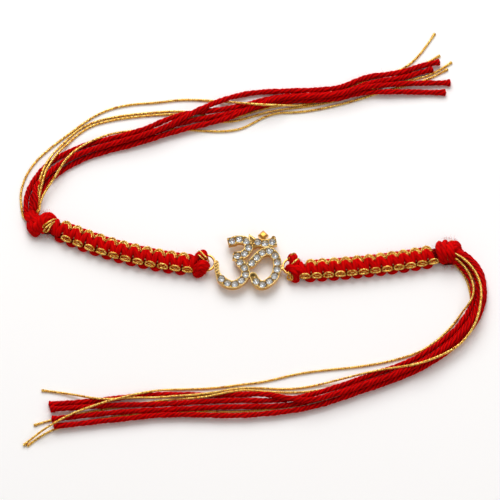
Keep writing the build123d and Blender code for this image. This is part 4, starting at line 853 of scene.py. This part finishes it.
# Along both edges of each stroke the plate is raised as a fine rim, and four small grains hold each stone;
# rims and grains take a paler gold than the plate as a painted highlight. Strokes are given as shares of the
# sign's width and height, with their stones.
sign_strokes = {
    6: [(-0.242, 0.313), (-0.135, 0.346), (-0.024, 0.313), (0.012, 0.197), (-0.053, 0.096), (-0.160, 0.058)],
    7: [(-0.120, -0.052), (-0.048, -0.163), (-0.037, -0.271), (-0.106, -0.372), (-0.213, -0.432),
        (-0.315, -0.410), (-0.402, -0.339)],
    11: [(0.060, -0.063), (0.132, 0.026), (0.220, 0.114), (0.327, 0.142), (0.414, 0.064), (0.449, -0.052),
         (0.443, -0.173), (0.405, -0.294), (0.327, -0.382), (0.225, -0.437), (0.127, -0.382)],
    3: [(0.152, 0.295), (0.258, 0.273), (0.371, 0.301)],
}
# Rims of the bare arm, of the end of the loop with its empty seat, and both ridges of the horn:
# radius in mm, then shares of the sign.
plain_rims = [
    (0.09, [(-0.468, -0.333), (-0.500, -0.207), (-0.512, -0.110), (-0.503, -0.040), (-0.478, -0.021),
            (-0.453, -0.049), (-0.443, -0.134), (-0.430, -0.222), (-0.388, -0.288)]),
    (0.09, [(0.170, -0.352), (0.127, -0.258), (0.095, -0.231), (0.055, -0.235), (0.028, -0.267),
            (0.032, -0.310), (0.078, -0.400)]),
    (0.2, [(0.024, 0.300), (0.022, 0.365), (0.022, 0.428)]),
    (0.24, [(0.024, 0.425), (0.066, 0.375), (0.125, 0.325)]),
]
arm_grains = [(-0.492, -0.062), (-0.464, -0.085), (-0.491, -0.108), (-0.460, -0.131), (-0.486, -0.156),
              (-0.454, -0.179), (-0.478, -0.204), (-0.443, -0.227), (-0.468, -0.252), (-0.428, -0.268)]
# In mm: radii, and how far rims and grains stand from the middle of a stroke and past its last stone.
stroke_rim_radius = 0.08
grain_radius = 0.26
rim_offset = 1.03
grain_offset = 0.82
end_grain_offset = 0.74
end_grain_reach = 0.9


def on_sign(shares):
    """Points in mm on top of the plate, from shares of the sign's width and height."""
    return np.array([(sign_centre[0] + x * sign_size[0], sign_centre[1] + y * sign_size[1], sign_top)
                     for x, y in shares])


def plain_rod(line, radius, around, step):
    """An untwisted rod with round ends."""
    return strand(line, radius, groove=0.0, around=around, step=step, tip=radius)


def grain_part(spot):
    """One small round grain that stands on the plate."""
    return plain_rod(spot + np.array([[0, 0, -0.1], [0, 0, 0.11], [0, 0, 0.32]]), grain_radius, 12, 0.04)


rims = [plain_rod(smooth_line(on_sign(shares), 24), radius, 10, 0.15) for radius, shares in plain_rims]
rims += [grain_part(spot) for spot in on_sign(arm_grains)]
for stones, shares in sign_strokes.items():
    middle = even_line(smooth_line(on_sign(shares), 24), 0.05)[0]
    way = cross_ways(middle)[0]
    side = np.column_stack([-way[:, 1], way[:, 0], np.zeros(len(way))])
    for hand in (-1, 1):
        rims.append(plain_rod(middle + hand * rim_offset * side, stroke_rim_radius, 10, 0.15))
        for gap in range(stones + 1):
            at = min(max(int((gap - 0.5) / (stones - 1) * len(middle)), 0), len(middle) - 1)
            grain = middle[at] + hand * grain_offset * side[at]
            if gap == 0:
                grain = middle[0] - end_grain_reach * way[0] + hand * end_grain_offset * side[0]
            if gap == stones:
                grain = middle[-1] + end_grain_reach * way[-1] + hand * end_grain_offset * side[-1]
            rims.append(grain_part(grain))
woven_piece("om_frame_rims_and_grains", rims, grain_highlight_gold)

for name, node_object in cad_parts.items():
    if name == "om_frame" or name.startswith("stone_"):
        for place in node_object.material_slots:
            place.material = plated_gold if name == "om_frame" else cut_glass
